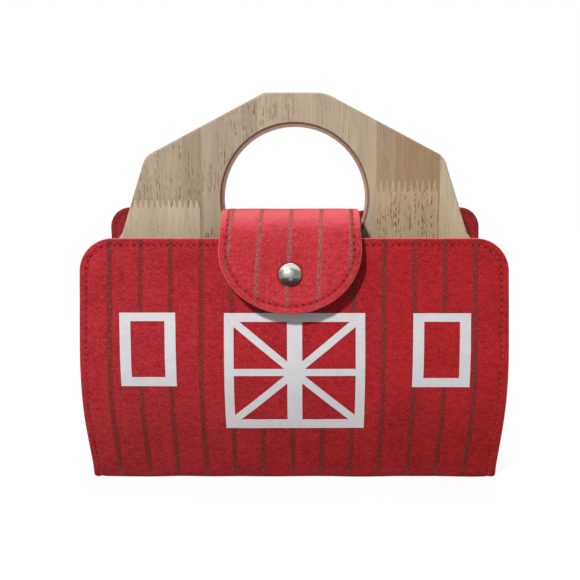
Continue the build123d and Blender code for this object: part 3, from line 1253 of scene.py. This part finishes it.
def make_frame_mask():
    """1 inside an upright rectangle of the flat cloth, 0 outside it."""
    group, given, end = effect(
        "inside a frame",
        {"Place": ("Vector", None), "Centre": ("Vector", None), "Half": ("Vector", None)},
        {"Mask": "Float"},
    )
    away = vectors(group, "ABSOLUTE", vectors(group, "SUBTRACT", given["Place"], given["Centre"]))
    across_room, up_room, _ = parts_of(group, vectors(group, "SUBTRACT", given["Half"], away))
    least = calc(group, "MINIMUM", across_room, up_room)
    give(group, end, Mask=calc(group, "GREATER_THAN", least, 0.0))
    return group


printed_stripes = make_stripes()
inside_frame = make_frame_mask()

# %% The effect of needle holes
hole_half = 0.85 * mm
hole_squeeze = 0.6


def make_needle_holes():
    """Holes along a row of stitches, the pressed row itself and the cut edge, which the felt's
    finish paints paler, partly for its fluff and partly as a painted highlight.
    """
    group, given, end = effect(
        "needle holes",
        {"Seam": ("Vector", None), "Pitch": ("Float", stitch_pitch), "Start": ("Float", 0.0)},
        {"Hole": "Float", "Row": "Float", "Edge": "Float"},
    )
    along, off, edge = parts_of(group, given["Seam"])
    count = calc(group, "DIVIDE", minus(group, along, given["Start"]), given["Pitch"])
    away = minus(group, count, calc(group, "ROUND", count))
    away = times(group, away, given["Pitch"], hole_squeeze)
    squares = calc(group, "POWER", away, 2.0), calc(group, "POWER", off, 2.0)
    reach = calc(group, "SQRT", plus(group, *squares))
    drift = grown(group, given["Seam"], (5 * mm, 1.0, 1.0), 0.0, 1.0)
    wide = times(group, ramp(group, drift, 0.35, 0.65, 0.6, 1.0), hole_half)
    hole = ramp(group, minus(group, wide, reach), 0.0, 0.4 * mm)
    row = ramp(group, off, 1.5 * mm, 0.4 * mm)
    give(group, end, Hole=hole, Row=row, Edge=ramp(group, edge, 0.9 * mm, 0.2 * mm))
    return group


needle_holes = make_needle_holes()
first_hole = (stitch_pitch - stitch_gap) / 2

# %% [markdown]
# ## The felt of the walls and the flap
# Both are the same striped felt, so one function builds the finish from the effects, and
# each has its own reds; the flap's are lighter, painted light for its upturned face. A
# painted sheen makes the front paler on the left than on the right, and a painted
# highlight makes the flap paler where it is bent over.

# %% Striped felt
trims = tuple(film_fit)


def flat_frame(node):
    """Centre and half size of a trim, in places on the flat cloth."""
    centre, wide, tall = trim_frame(node)
    low, high = run_at(centre[1] - tall), run_at(centre[1] + tall)
    return (centre[0], (low + high) / 2, 0), (wide, (high - low) / 2, 0)


def striped_felt(name, reds, inks, stripes, frames=(), at_edge=1.0):
    """Felt with printed stripes, and ink left at the cut edge by the share at_edge.

    The reds are those of deep felt, its body and its fluff, and the inks are dark and worn.
    """
    made, tree, shader = new_material(
        name, Roughness=0.92, Specular_IOR_Level=0.15, Sheen_Weight=0.12, Sheen_Roughness=0.45
    )
    shader.inputs["Sheen Tint"].default_value = screen(255, 150, 150)
    place = flat_place(tree)
    wool = use(tree, matted_fibres, Place=place, Deep=reds[0], Body=reds[1], Fluff=reds[2])
    mask = use(tree, printed_stripes, Place=place, Pitch=stripe_pitch, Shift=stripe_shift,
               **stripes)["Mask"]
    for node in frames:
        centre, half = flat_frame(node)
        inside = use(tree, inside_frame, Place=place, Centre=centre, Half=half)["Mask"]
        mask = times(tree, mask, minus(tree, 1.0, inside))
    ink = mix(tree, ramp(tree, wool["Height"], 0.42, 0.62), inks[0], inks[1])
    seam = add(tree, "ShaderNodeAttribute", attribute_name="seam").outputs["Vector"]
    edge = parts_of(tree, seam)[2]
    left_over = ramp(tree, edge, stitch_inset - 1.6 * mm, stitch_inset + 0.4 * mm, at_edge, 1.0)
    mask = times(tree, mask, left_over)
    sewn = use(tree, needle_holes, Seam=seam, Start=first_hole)
    return {"finish": made, "tree": tree, "shader": shader, "place": place, "wool": wool,
            "mask": mask, "ink": ink, "sewn": sewn}


def finish_felt(looks, colour, ink, holes=0.6):
    """Ink over felt, then painted shade in the pressed row and the holes, and a paler cut edge,
    part fluff and part painted highlight.
    """
    tree, shader, mask, sewn = [looks[part] for part in ("tree", "shader", "mask", "sewn")]
    colour = mix(tree, mask, colour, ink)
    # Painted shade in the pressed row of stitches and, darker still, in the needle holes
    colour = mix(tree, times(tree, sewn["Row"], 0.5, holes), colour, screen(132, 18, 24))
    colour = mix(tree, times(tree, sewn["Hole"], holes), colour, screen(76, 12, 14))
    # The cut edge painted paler: partly the fluff of cut felt, partly a painted highlight
    colour = mix(tree, times(tree, sewn["Edge"], 0.5), colour, screen(236, 130, 130))
    fill(tree, shader.inputs["Base Color"], colour)
    fill(tree, shader.inputs["Roughness"], ramp(tree, mask, 0.0, 1.0, 0.92, 0.7))
    height = minus(tree, looks["wool"]["Height"], times(tree, sewn["Hole"], 1.5))
    bump(tree, shader, height, 0.35 * mm, 0.9)


# %% The front wall's felt, paler on the left by a painted sheen, with painted shade at the fold at the floor
wall_reds = [screen(128, 15, 21), screen(204, 43, 52), screen(238, 100, 106)]
wall_inks = [screen(116, 34, 32), screen(166, 66, 62)]
# Painted sheen: the felt's colour is made paler on the left and deeper on the right, for the light
# from the left
sheen_lit_left, sheen_dim_right = (1.0, 1.12, 1.12, 1.0), (1.0, 0.72, 0.69, 1.0)
# Painted shade: the felt is darkened towards the fold at the floor
painted_fold_shade = (0.76, 0.7, 0.66, 1.0)
looks = striped_felt("striped_felt", wall_reds, wall_inks, {"Width": wall_stripe}, trims)
tree = looks["tree"]
over, run, _ = parts_of(tree, looks["place"])
# The painted sheen runs across the wall from left to right
painted_sheen_across = ramp(tree, over, -case_width / 2, case_width / 2)
tint = mix(tree, painted_sheen_across, sheen_lit_left, sheen_dim_right)
tint = mix(tree, ramp(tree, run, fold_half + 14 * mm, fold_half), tint, painted_fold_shade)
reds = mix(tree, 1.0, looks["wool"]["Colour"], tint, "MULTIPLY")
# The painted shade in the needle holes is strongest near the top edge
holes = ramp(tree, run, front_length - 75 * mm, front_length - 28 * mm, 0.12, 0.5)
finish_felt(looks, reds, looks["ink"], holes)
wear(looks["finish"], front_felt)

# %% The flap's felt, lighter for the light on its upturned face, with a painted highlight where it is bent over and a painted shadow round the stud
# Painted light: the flap's reds and inks are lighter copies of the wall's, for the light on its
# upturned face
lit_flap_reds = [screen(148, 23, 31), screen(222, 57, 66), screen(250, 122, 128)]
lit_flap_inks = [screen(146, 66, 62), screen(206, 128, 122)]
flap_stripes = {"Width": flap_stripe, "Lean": flap_lean, "Lean_start": crest_run}
looks = striped_felt("striped_flap_felt", lit_flap_reds, lit_flap_inks, flap_stripes, at_edge=0.35)
tree = looks["tree"]
run = parts_of(tree, looks["place"])[1]
# Painted highlight: the felt and its ink are made paler where the flap is bent over its crest
before = ramp(tree, run, crest_run - 14 * mm, crest_run)
after = ramp(tree, run, crest_run + 6 * mm, hang_start + 2 * mm, 1.0, 0.0)
bent = times(tree, before, after)
reds = mix(tree, times(tree, bent, 0.58), looks["wool"]["Colour"], screen(240, 126, 131))
# Painted shadow: a dark ring on the felt just round the stud's cap
from_stud = vectors(tree, "DISTANCE", looks["place"], (flap_offset, snap_run, 0))
painted_stud_shadow = ramp(tree, from_stud, cap_radius + 1.3 * mm, cap_radius + 0.2 * mm)
reds = mix(tree, times(tree, painted_stud_shadow, 0.65), reds, screen(84, 12, 18))
# The painted highlight on the crest also pales the ink
ink = mix(tree, times(tree, bent, 0.7), looks["ink"], screen(172, 78, 72))
finish_felt(looks, reds, ink)
wear(looks["finish"], back_felt)

# %% [markdown]
# ## Lining, thread and film
# The lining is a thinner, deeper red felt of the same fibres. The thread shows its two
# twisted strands as slanting bands, drawn by the place along and round each stitch: the
# light and shade of the twist are painted into its colour. The film is so thin that the
# felt presses through, so it has the fibres too, in whites.

# %% The lining, a thinner felt without stripes
lining_reds = {
    "Deep": screen(116, 19, 26),
    "Body": screen(168, 36, 43),
    "Fluff": screen(214, 100, 106),
}
lining_finish, tree, shader = new_material(
    "lining_felt", Roughness=0.95, Specular_IOR_Level=0.15, Sheen_Weight=0.12, Sheen_Roughness=0.5
)
wool = use(tree, matted_fibres, Place=flat_place(tree), Fluff_amount=0.3, **lining_reds)
fill(tree, shader.inputs["Base Color"], wool["Colour"])
bump(tree, shader, wool["Height"], 0.25 * mm, 0.7)
wear(lining_finish, front_lining, back_lining)

# %% The thread, two strands twisted together
twist_along, twist_round = 9000.0, 6283.0
thread_finish, tree, shader = new_material(
    "red_thread", Roughness=0.7, Specular_IOR_Level=0.2, Sheen_Weight=0.1
)
along, around, _ = parts_of(tree, flat_place(tree))
twist = plus(tree, times(tree, along, twist_along), times(tree, around, twist_round))
# Painted light and shade of the twist: the strands' crests paler, the grooves between them darker
strand_ridge_and_shade = calc(tree, "MULTIPLY_ADD", calc(tree, "SINE", twist), 0.5, 0.5)
reds = mix(tree, strand_ridge_and_shade, screen(134, 18, 24), screen(220, 66, 70))
fill(tree, shader.inputs["Base Color"], reds)
bump(tree, shader, strand_ridge_and_shade, 0.08 * mm)
wear(thread_finish, front_stitches, back_stitches, flap_stitches)

# %% The white film, with the felt just felt through it
film_whites = {
    "Deep": screen(208, 205, 208),
    "Body": screen(222, 219, 222),
    "Fluff": screen(233, 231, 233),
}
# Painted light: the film is made paler towards its lower end, where less light falls
painted_lift_low_whites = (1.2, 1.18, 1.18, 1.0)
film_finish, tree, shader = new_material("white_film", Roughness=0.55)
place = flat_place(tree)
wool = use(tree, matted_fibres, Place=place, Fluff_amount=0.6, **film_whites)
# Where the painted light on the film grows, towards its lower end
painted_light_low_down = ramp(tree, parts_of(tree, place)[1], front_length / 2, front_length / 2 - 42 * mm)
whites = mix(tree, painted_light_low_down, wool["Colour"], painted_lift_low_whites, "MULTIPLY")
fill(tree, shader.inputs["Base Color"], whites)
bump(tree, shader, wool["Height"], 0.12 * mm, 0.6)
wear(film_finish, door_film, *window_films)

# %% [markdown]
# ## Wood
# The board is glued up from staves of a pale wood: fine upright grain, short dark pores,
# and finger joints where two short staves meet end to end. The grain is worked out in
# space, with the long direction upright, so that it also runs true over the eased edges
# and round the inside of the hand hole.

# %% The effect of wood grain
stave_jump = (0.137, 0.071, 0.313)
pore_colour = screen(108, 82, 60)


def make_grain():
    """Upright grain; each stave number takes its figure from another part of the wood."""
    group, given, end = effect(
        "upright wood grain",
        {
            "Place": ("Vector", None),
            "Stave": ("Float", 0.0),
            "Tone": ("Color", None),
            "Pores": ("Float", 0.6),
            "Streaks": ("Float", 1.0),
        },
        {"Colour": "Color", "Height": "Float"},
    )
    number = add(group, "ShaderNodeCombineXYZ", [given["Stave"]] * 3).outputs[0]
    place = vectors(group, "ADD", given["Place"], vectors(group, "MULTIPLY", number, stave_jump))

    def blots(thick, tall, detail=2.0, rough=0.5):
        return grown(group, place, (thick * mm, thick * mm, tall * mm), 0.0, detail, rough)

    figure = blots(11, 70, 3.0, 0.6)
    lines = blots(0.8, 22, 3.0, 0.65)
    dust = blots(0.5, 0.9)
    clouds = blots(12, 22)
    rows = ramp(group, blots(0.5, 30, 0.0), 0.52, 0.62)
    dashes = ramp(group, blots(1.3, 3.2, 1.0), 0.46, 0.58)
    pores = times(group, rows, dashes, ramp(group, clouds, 0.34, 0.56), given["Pores"])
    shade = plus(group, times(group, figure, 0.5), times(group, lines, 0.5))
    shade = times(group, minus(group, ramp(group, shade, 0.3, 0.7), 0.5), given["Streaks"])
    shade = plus(group, shade, times(group, minus(group, dust, 0.5), 0.5))
    bright = calc(group, "MULTIPLY_ADD", shade, 0.34, 1.0)
    colour = mix(group, pores, scaled(group, given["Tone"], bright), pore_colour)
    height = minus(group, times(group, lines, 0.4), times(group, pores, 0.8))
    give(group, end, Colour=colour, Height=height)
    return group


wood_grain = make_grain()

# %% The staves of the board
# Each stave: where it starts in mm from the middle, its colour, how many pores it shows
staves = [
    (-120.0, (174, 156, 131), 0.7),
    (-66.0, (165, 145, 119), 0.8),
    (-55.0, (172, 155, 133), 1.0),
    (-22.0, (180, 163, 139), 0.55),
    (-2.0, (183, 166, 141), 0.4),
    (26.0, (182, 165, 138), 0.3),
    (47.5, (172, 150, 119), 0.3),
    (59.0, (161, 134, 99), 0.35),
    (84.5, (200, 183, 152), 0.2),
]


def stave_tones(tree, x):
    """The colour and the amount of pores of the stave that a spot lies in."""
    share = calc(tree, "MULTIPLY_ADD", x, 1 / case_width, 0.5)
    tones = add(tree, "ShaderNodeValToRGB", [share])
    ramp_steps = tones.color_ramp.elements
    tones.color_ramp.interpolation = "CONSTANT"
    while len(ramp_steps) < len(staves):
        ramp_steps.new(0.5)
    for step, (start, _, _) in zip(ramp_steps, staves):
        step.position = start * mm / case_width + 0.5
    for step, (_, colour, pores) in zip(ramp_steps, staves):
        step.color = (*screen(*colour)[:3], pores)
    return tones.outputs


# %% The finger joints
# Each joint: its two edges, its height, and the length and pitch of its fingers
left_joint = (-case_width / 2, -56.0 * mm, 162.0 * mm, 4.6 * mm, 3.3 * mm)
right_joint = (47.5 * mm, 84.5 * mm, 172.5 * mm, 7.0 * mm, 3.5 * mm)


def below_joint(tree, x, z, start, end, height, finger, pitch):
    """1 below a finger joint between two edges, with its row of blunt teeth."""
    teeth = calc(tree, "PINGPONG", calc(tree, "DIVIDE", x, pitch / 2), 1.0)
    line = calc(tree, "MULTIPLY_ADD", ramp(tree, teeth, 0.1, 0.9, -0.5, 0.5), finger, height)
    under = ramp(tree, minus(tree, line, z), -0.15 * mm, 0.15 * mm)
    beside = calc(tree, "GREATER_THAN", x, start), calc(tree, "LESS_THAN", x, end)
    return times(tree, under, times(tree, *beside))


# %% The board's finish
# The hand hole's sawn wall: partly the sawn wood's own paler tone, partly painted light for the
# shade inside the hole, more towards its top
sawn_low, sawn_lit_high = screen(200, 182, 150), screen(210, 209, 181)
board_finish, tree, shader = new_material(
    "edge_glued_board", Roughness=0.6, Specular_IOR_Level=0.3
)
place = object_place(tree)
x, y, z = parts_of(tree, place)
tone, pores = stave_tones(tree, x)
left_low = below_joint(tree, x, z, *left_joint)
right_low = below_joint(tree, x, z, *right_joint)
tone = mix(tree, left_low, tone, screen(196, 178, 153))
tone = mix(tree, right_low, tone, screen(190, 167, 132))
pores = times(tree, pores, calc(tree, "MULTIPLY_ADD", left_low, -0.6, 1.0))
pores = plus(tree, pores, times(tree, right_low, 0.65))
stave = plus(tree, times(tree, pores, 7.0), times(tree, left_low, 11.0))
stave = plus(tree, stave, times(tree, right_low, 17.0))
grain = use(tree, wood_grain, Place=place, Stave=stave, Tone=tone, Pores=pores)
spoke = add(tree, "ShaderNodeCombineXYZ", [x, minus(tree, z, hole_height), 0.0]).outputs[0]
reach = vectors(tree, "LENGTH", spoke)
in_hole = ramp(tree, reach, hole_radius + 1.1 * board_ease, hole_radius + 0.7 * board_ease)
to_face = minus(tree, board_thick / 2, calc(tree, "ABSOLUTE", y))
# Painted shade: the board's eased edges are darkened, damping the highlight they catch
painted_edge_shade = ramp(tree, to_face, 0.02 * mm, 0.5 * mm)
# Darker brown in the hand hole, near both faces of the board
dark_hole_rim = times(tree, in_hole, ramp(tree, to_face, 1.6 * mm, 0.9 * mm))
toned = mix(tree, times(tree, painted_edge_shade, 0.6), grain["Colour"], screen(128, 112, 92))
# Painted light: the hole's wall is made paler towards its top, which faces down into shade
painted_light_up_hole = ramp(tree, z, hole_height - 8 * mm, hole_height + 14 * mm)
toned = mix(tree, in_hole, toned, mix(tree, painted_light_up_hole, sawn_low, sawn_lit_high))
toned = mix(tree, times(tree, dark_hole_rim, 0.9), toned, screen(124, 80, 50))
fill(tree, shader.inputs["Base Color"], toned)
bump(tree, shader, grain["Height"], 0.12 * mm, 0.6)
wear(board_finish, board)

# %% The base board inside, of the same wood lying down
base_finish, tree, shader = new_material("base_board_wood", Roughness=0.65)
turned_over = {"Vector": object_place(tree), "Rotation": (0, pi / 2, 0)}
lying = add(tree, "ShaderNodeMapping", turned_over).outputs[0]
grain = use(tree, wood_grain, Place=lying, Stave=5.0, Tone=screen(188, 170, 142), Pores=0.4)
fill(tree, shader.inputs["Base Color"], grain["Colour"])
bump(tree, shader, grain["Height"], 0.12 * mm, 0.6)
wear(base_finish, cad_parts["base_board"])

# %% [markdown]
# ## Metal
# The stud is nickel plated: bright, nearly mirror smooth, with faint rubbing marks from
# use that spread its reflections unevenly. The screws under the board are plain zinc.

# %% The effect of rubbed metal, and the two metals
def make_rubbed():
    """Roughness between smooth and dull, in hazy patches with fine scratches."""
    group, given, end = effect(
        "rubbed metal",
        {"Place": ("Vector", None), "Smooth": ("Float", 0.12), "Dull": ("Float", 0.3)},
        {"Roughness": "Float", "Height": "Float"},
    )
    hazy = grown(group, given["Place"], (2.2 * mm, 2.2 * mm, 2.2 * mm), 0.0, 3.0)
    marks = ramp(group, grown(group, given["Place"], (3 * mm, 0.05 * mm, mm), 0.7), 0.6, 0.75)
    share = plus(group, ramp(group, hazy, 0.4, 0.7, 0.0, 0.6), times(group, marks, 0.4))
    room = minus(group, given["Dull"], given["Smooth"])
    roughness = calc(group, "MULTIPLY_ADD", share, room, given["Smooth"])
    give(group, end, Roughness=roughness, Height=plus(group, hazy, marks))
    return group


rubbed_metal = make_rubbed()


def metal_finish(name, colours, smooth, dull, dents):
    """Plated metal; colours are where it is smooth and where it is dull."""
    made, tree, shader = new_material(name, Metallic=1.0)
    rubbed = use(tree, rubbed_metal, Place=object_place(tree), Smooth=smooth, Dull=dull)
    fill(tree, shader.inputs["Base Color"], mix(tree, rubbed["Roughness"], *colours))
    fill(tree, shader.inputs["Roughness"], rubbed["Roughness"])
    bump(tree, shader, rubbed["Height"], dents)
    return made


nickel_greys = (screen(226, 226, 220), screen(150, 148, 140))
zinc_greys = (screen(190, 192, 196), screen(110, 112, 116))
nickel = metal_finish("bright_nickel", nickel_greys, 0.14, 0.28, 0.01 * mm)
zinc = metal_finish("zinc_plate", zinc_greys, 0.28, 0.5, 0.02 * mm)
stud_nodes = ("snap_barrel", "snap_socket", "snap_stud", "snap_post")
wear(nickel, cap, *[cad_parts[name] for name in stud_nodes])
wear(zinc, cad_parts["handle_screws"])

# %% [markdown]
# ## What each piece rides on
# The front wall turns about its fold at the floor and the flap lifts about its crest. The
# felt, lining and stitches of the walls and the flap keep their places, on no body; the
# films go with the front wall, the cap with the flap's tongue, and the back wall's
# stitches and the board with the case's body.

# %% Join the pieces to the bodies
for piece in (front_felt, front_lining, front_stitches):
    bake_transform(piece)
for piece in (back_felt, back_lining, flap_stitches):
    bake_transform(piece)
for piece in (back_stitches, board):
    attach(piece, "case_body")
for piece in (door_film, *window_films):
    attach(piece, "front_wall")
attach(cap, "flap_tongue")

# %% Say what each piece stands for
back_parts = ("base", "back_wall", "flap_bridge", "flap_tongue")
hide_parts("felt_front_wall")
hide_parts("lining_front_wall")
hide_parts(*["felt_" + part for part in back_parts])
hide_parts(*["lining_" + part for part in back_parts])
for film_piece, node in zip((door_film, *window_films), trims):
    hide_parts(node)
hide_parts("handle_board")
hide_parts("snap_cap")
slots = {
    "red_felt": (front_felt, back_felt, front_stitches, back_stitches, flap_stitches),
    "red_lining": (front_lining, back_lining),
    "white_film": (door_film, *window_films),
    "pine": (board,),
    "bright_nickel": (cap,),
}
for slot, pieces in slots.items():
    print(slot, "is the material of", [piece.name for piece in pieces])

# %% [markdown]
# ## Floor, light and camera
# A pale floor and a white room, one soft key lamp from the upper left, as in a window's
# light, a wide weak lamp that opens the shadows and one from above. The camera stands a
# little above the case and looks slightly down.

# %% What the camera and mirrors see, and the floor's finish
plain_white, black = (1, 1, 1, 1), (0, 0, 0, 1)
floor_grey = (0.9, 0.9, 0.9, 1)
white_from, white_to = 0.16, 0.5
floor_dimmed = 0.6


def seen_directly(tree):
    """1 for the camera's own rays and those that a mirror or glass passes on."""
    rays = add(tree, "ShaderNodeLightPath").outputs
    seen = calc(tree, "MAXIMUM", rays["Is Camera Ray"], rays["Is Glossy Ray"])
    return calc(tree, "MAXIMUM", seen, rays["Is Transmission Ray"])


def blended(tree, share, first, second):
    """A surface between two surfaces."""
    return add(tree, "ShaderNodeMixShader", [share, first, second]).outputs[0]


def show(tree, surface, end="Material Output"):
    """Makes this surface the one that is seen."""
    fill(tree, tree.nodes[end].inputs["Surface"], surface)


floor_finish, tree, shader = new_material("pale_floor", Roughness=0.95)
fill(tree, shader.inputs["Base Color"], floor_grey)
away = vectors(tree, "LENGTH", object_place(tree))
glow = ramp(tree, away, white_from, white_to, 0.72, 1.0)
white = add(tree, "ShaderNodeEmission", {"Color": plain_white, "Strength": 1.12}).outputs[0]
dark = add(tree, "ShaderNodeBsdfDiffuse", {"Color": black}).outputs[0]
dim = blended(tree, floor_dimmed, shader.outputs[0], dark)
bright = blended(tree, glow, shader.outputs[0], white)
show(tree, blended(tree, seen_directly(tree), dim, bright))

# %% Floor
floor_half = 4.0
floor_drop = 0.15 * mm
floor_corners = rectangle(-floor_half, -floor_half, floor_half, floor_half)


def flat_piece(name, corners):
    """A flat face with these corners, which isn't part of the case."""
    mesh = bpy.data.meshes.new(name)
    mesh.from_pydata(corners, [], [range(len(corners))])
    made = link(name, mesh)
    return made


wear(floor_finish, flat_piece("floor", [(x, y, -floor_drop) for x, y in floor_corners]))

# %% White room
world = bpy.data.worlds.new("white_room")
bpy.context.scene.world = world
world.use_nodes = True
tree = world.node_tree
room = tree.nodes["Background"]
room.inputs["Color"].default_value = (0.95, 0.97, 1.0, 1)
room.inputs["Strength"].default_value = 0.12
plain = add(tree, "ShaderNodeBackground", {"Color": plain_white, "Strength": 1.0})
both = blended(tree, seen_directly(tree), room.outputs[0], plain.outputs[0])
show(tree, both, "World Output")

# %% Lamps
# Each lamp: its name, its place, its size and its power
lamps = [
    ("key", (-0.58, -1.2, 1.26), 0.14, 27.5),
    ("fill", (0.1, -1.5, 0.7), 1.2, 0.8),
    ("top", (0.1, 0.3, 1.25), 0.5, 11.0),
]
case_middle = Vector((0, 0, 0.11))
for name, place, size, power in lamps:
    lamp_data = bpy.data.lights.new(name, "AREA")
    lamp_data.size = size
    lamp_data.energy = power
    lamp = link(name, lamp_data)
    lamp.location = place
    lamp.rotation_euler = (case_middle - Vector(place)).to_track_quat("-Z", "Y").to_euler()
    print("lamp:", name, power, "W")


# %% Cards that only a mirror sees
def card(name, corners, middle, reach, shades):
    """A card for reflections: one shade at a spot, another this far from it."""
    made = flat_piece(name, corners)
    made.visible_camera = made.visible_diffuse = made.visible_shadow = False
    made.visible_transmission = made.visible_volume_scatter = False
    paint, tree, _ = new_material(name + "_paint", Roughness=1.0)
    away = vectors(tree, "DISTANCE", object_place(tree), middle)
    shade = ramp(tree, away, 0.0, reach, *shades)
    show(tree, add(tree, "ShaderNodeEmission", {"Strength": shade}).outputs[0])
    wear(paint, made)


def oval(centre, radii, height):
    """Corners of a flat oval that lies this high over the floor."""
    return [(x, y, height) for x, y in arc(centre, radii, 0, 2 * pi, 24)[:-1]]


front_card = [(x, -1.9, z) for x, z in rectangle(-8.0, 0.0, 8.0, 2.6)]
floor_card = [(x, y, 1 * mm) for x, y in rectangle(-3.0, -1.9, 3.0, -0.03)]
light_oval = oval((0.01, -0.62), (0.09, 0.34), 2 * mm)
dark_oval = oval((-0.02, -0.4), (0.035, 0.06), 3 * mm)
card("front_card", front_card, (-1.0, -1.9, 1.3), 2.1, (1.05, 0.28))
card("floor_card", floor_card, (0.0, 0.0, 0.0), 1.6, (0.03, 0.4))
card("light_patch", light_oval, (0.0, -0.6, 0.0), 0.5, (0.6, 0.4))
card("dark_spot", dark_oval, (0.0, 0.0, 0.0), 1.0, (0.05, 0.05))

# %% Camera
camera_data = bpy.data.cameras.new("camera")
camera = link("camera", camera_data)
bpy.context.scene.camera = camera
camera.location = (4 * mm, -393 * mm, 161.5 * mm)
camera.rotation_euler = (radians(90 - 7.5), 0, 0)
camera_data.lens = 40.1
camera_data.sensor_width = 36
camera_data.shift_x = -0.0197
bpy.context.scene.view_settings.view_transform = "Standard"
print("camera:", camera_data.lens, "mm lens,", round(camera.location.length / mm), "mm away")
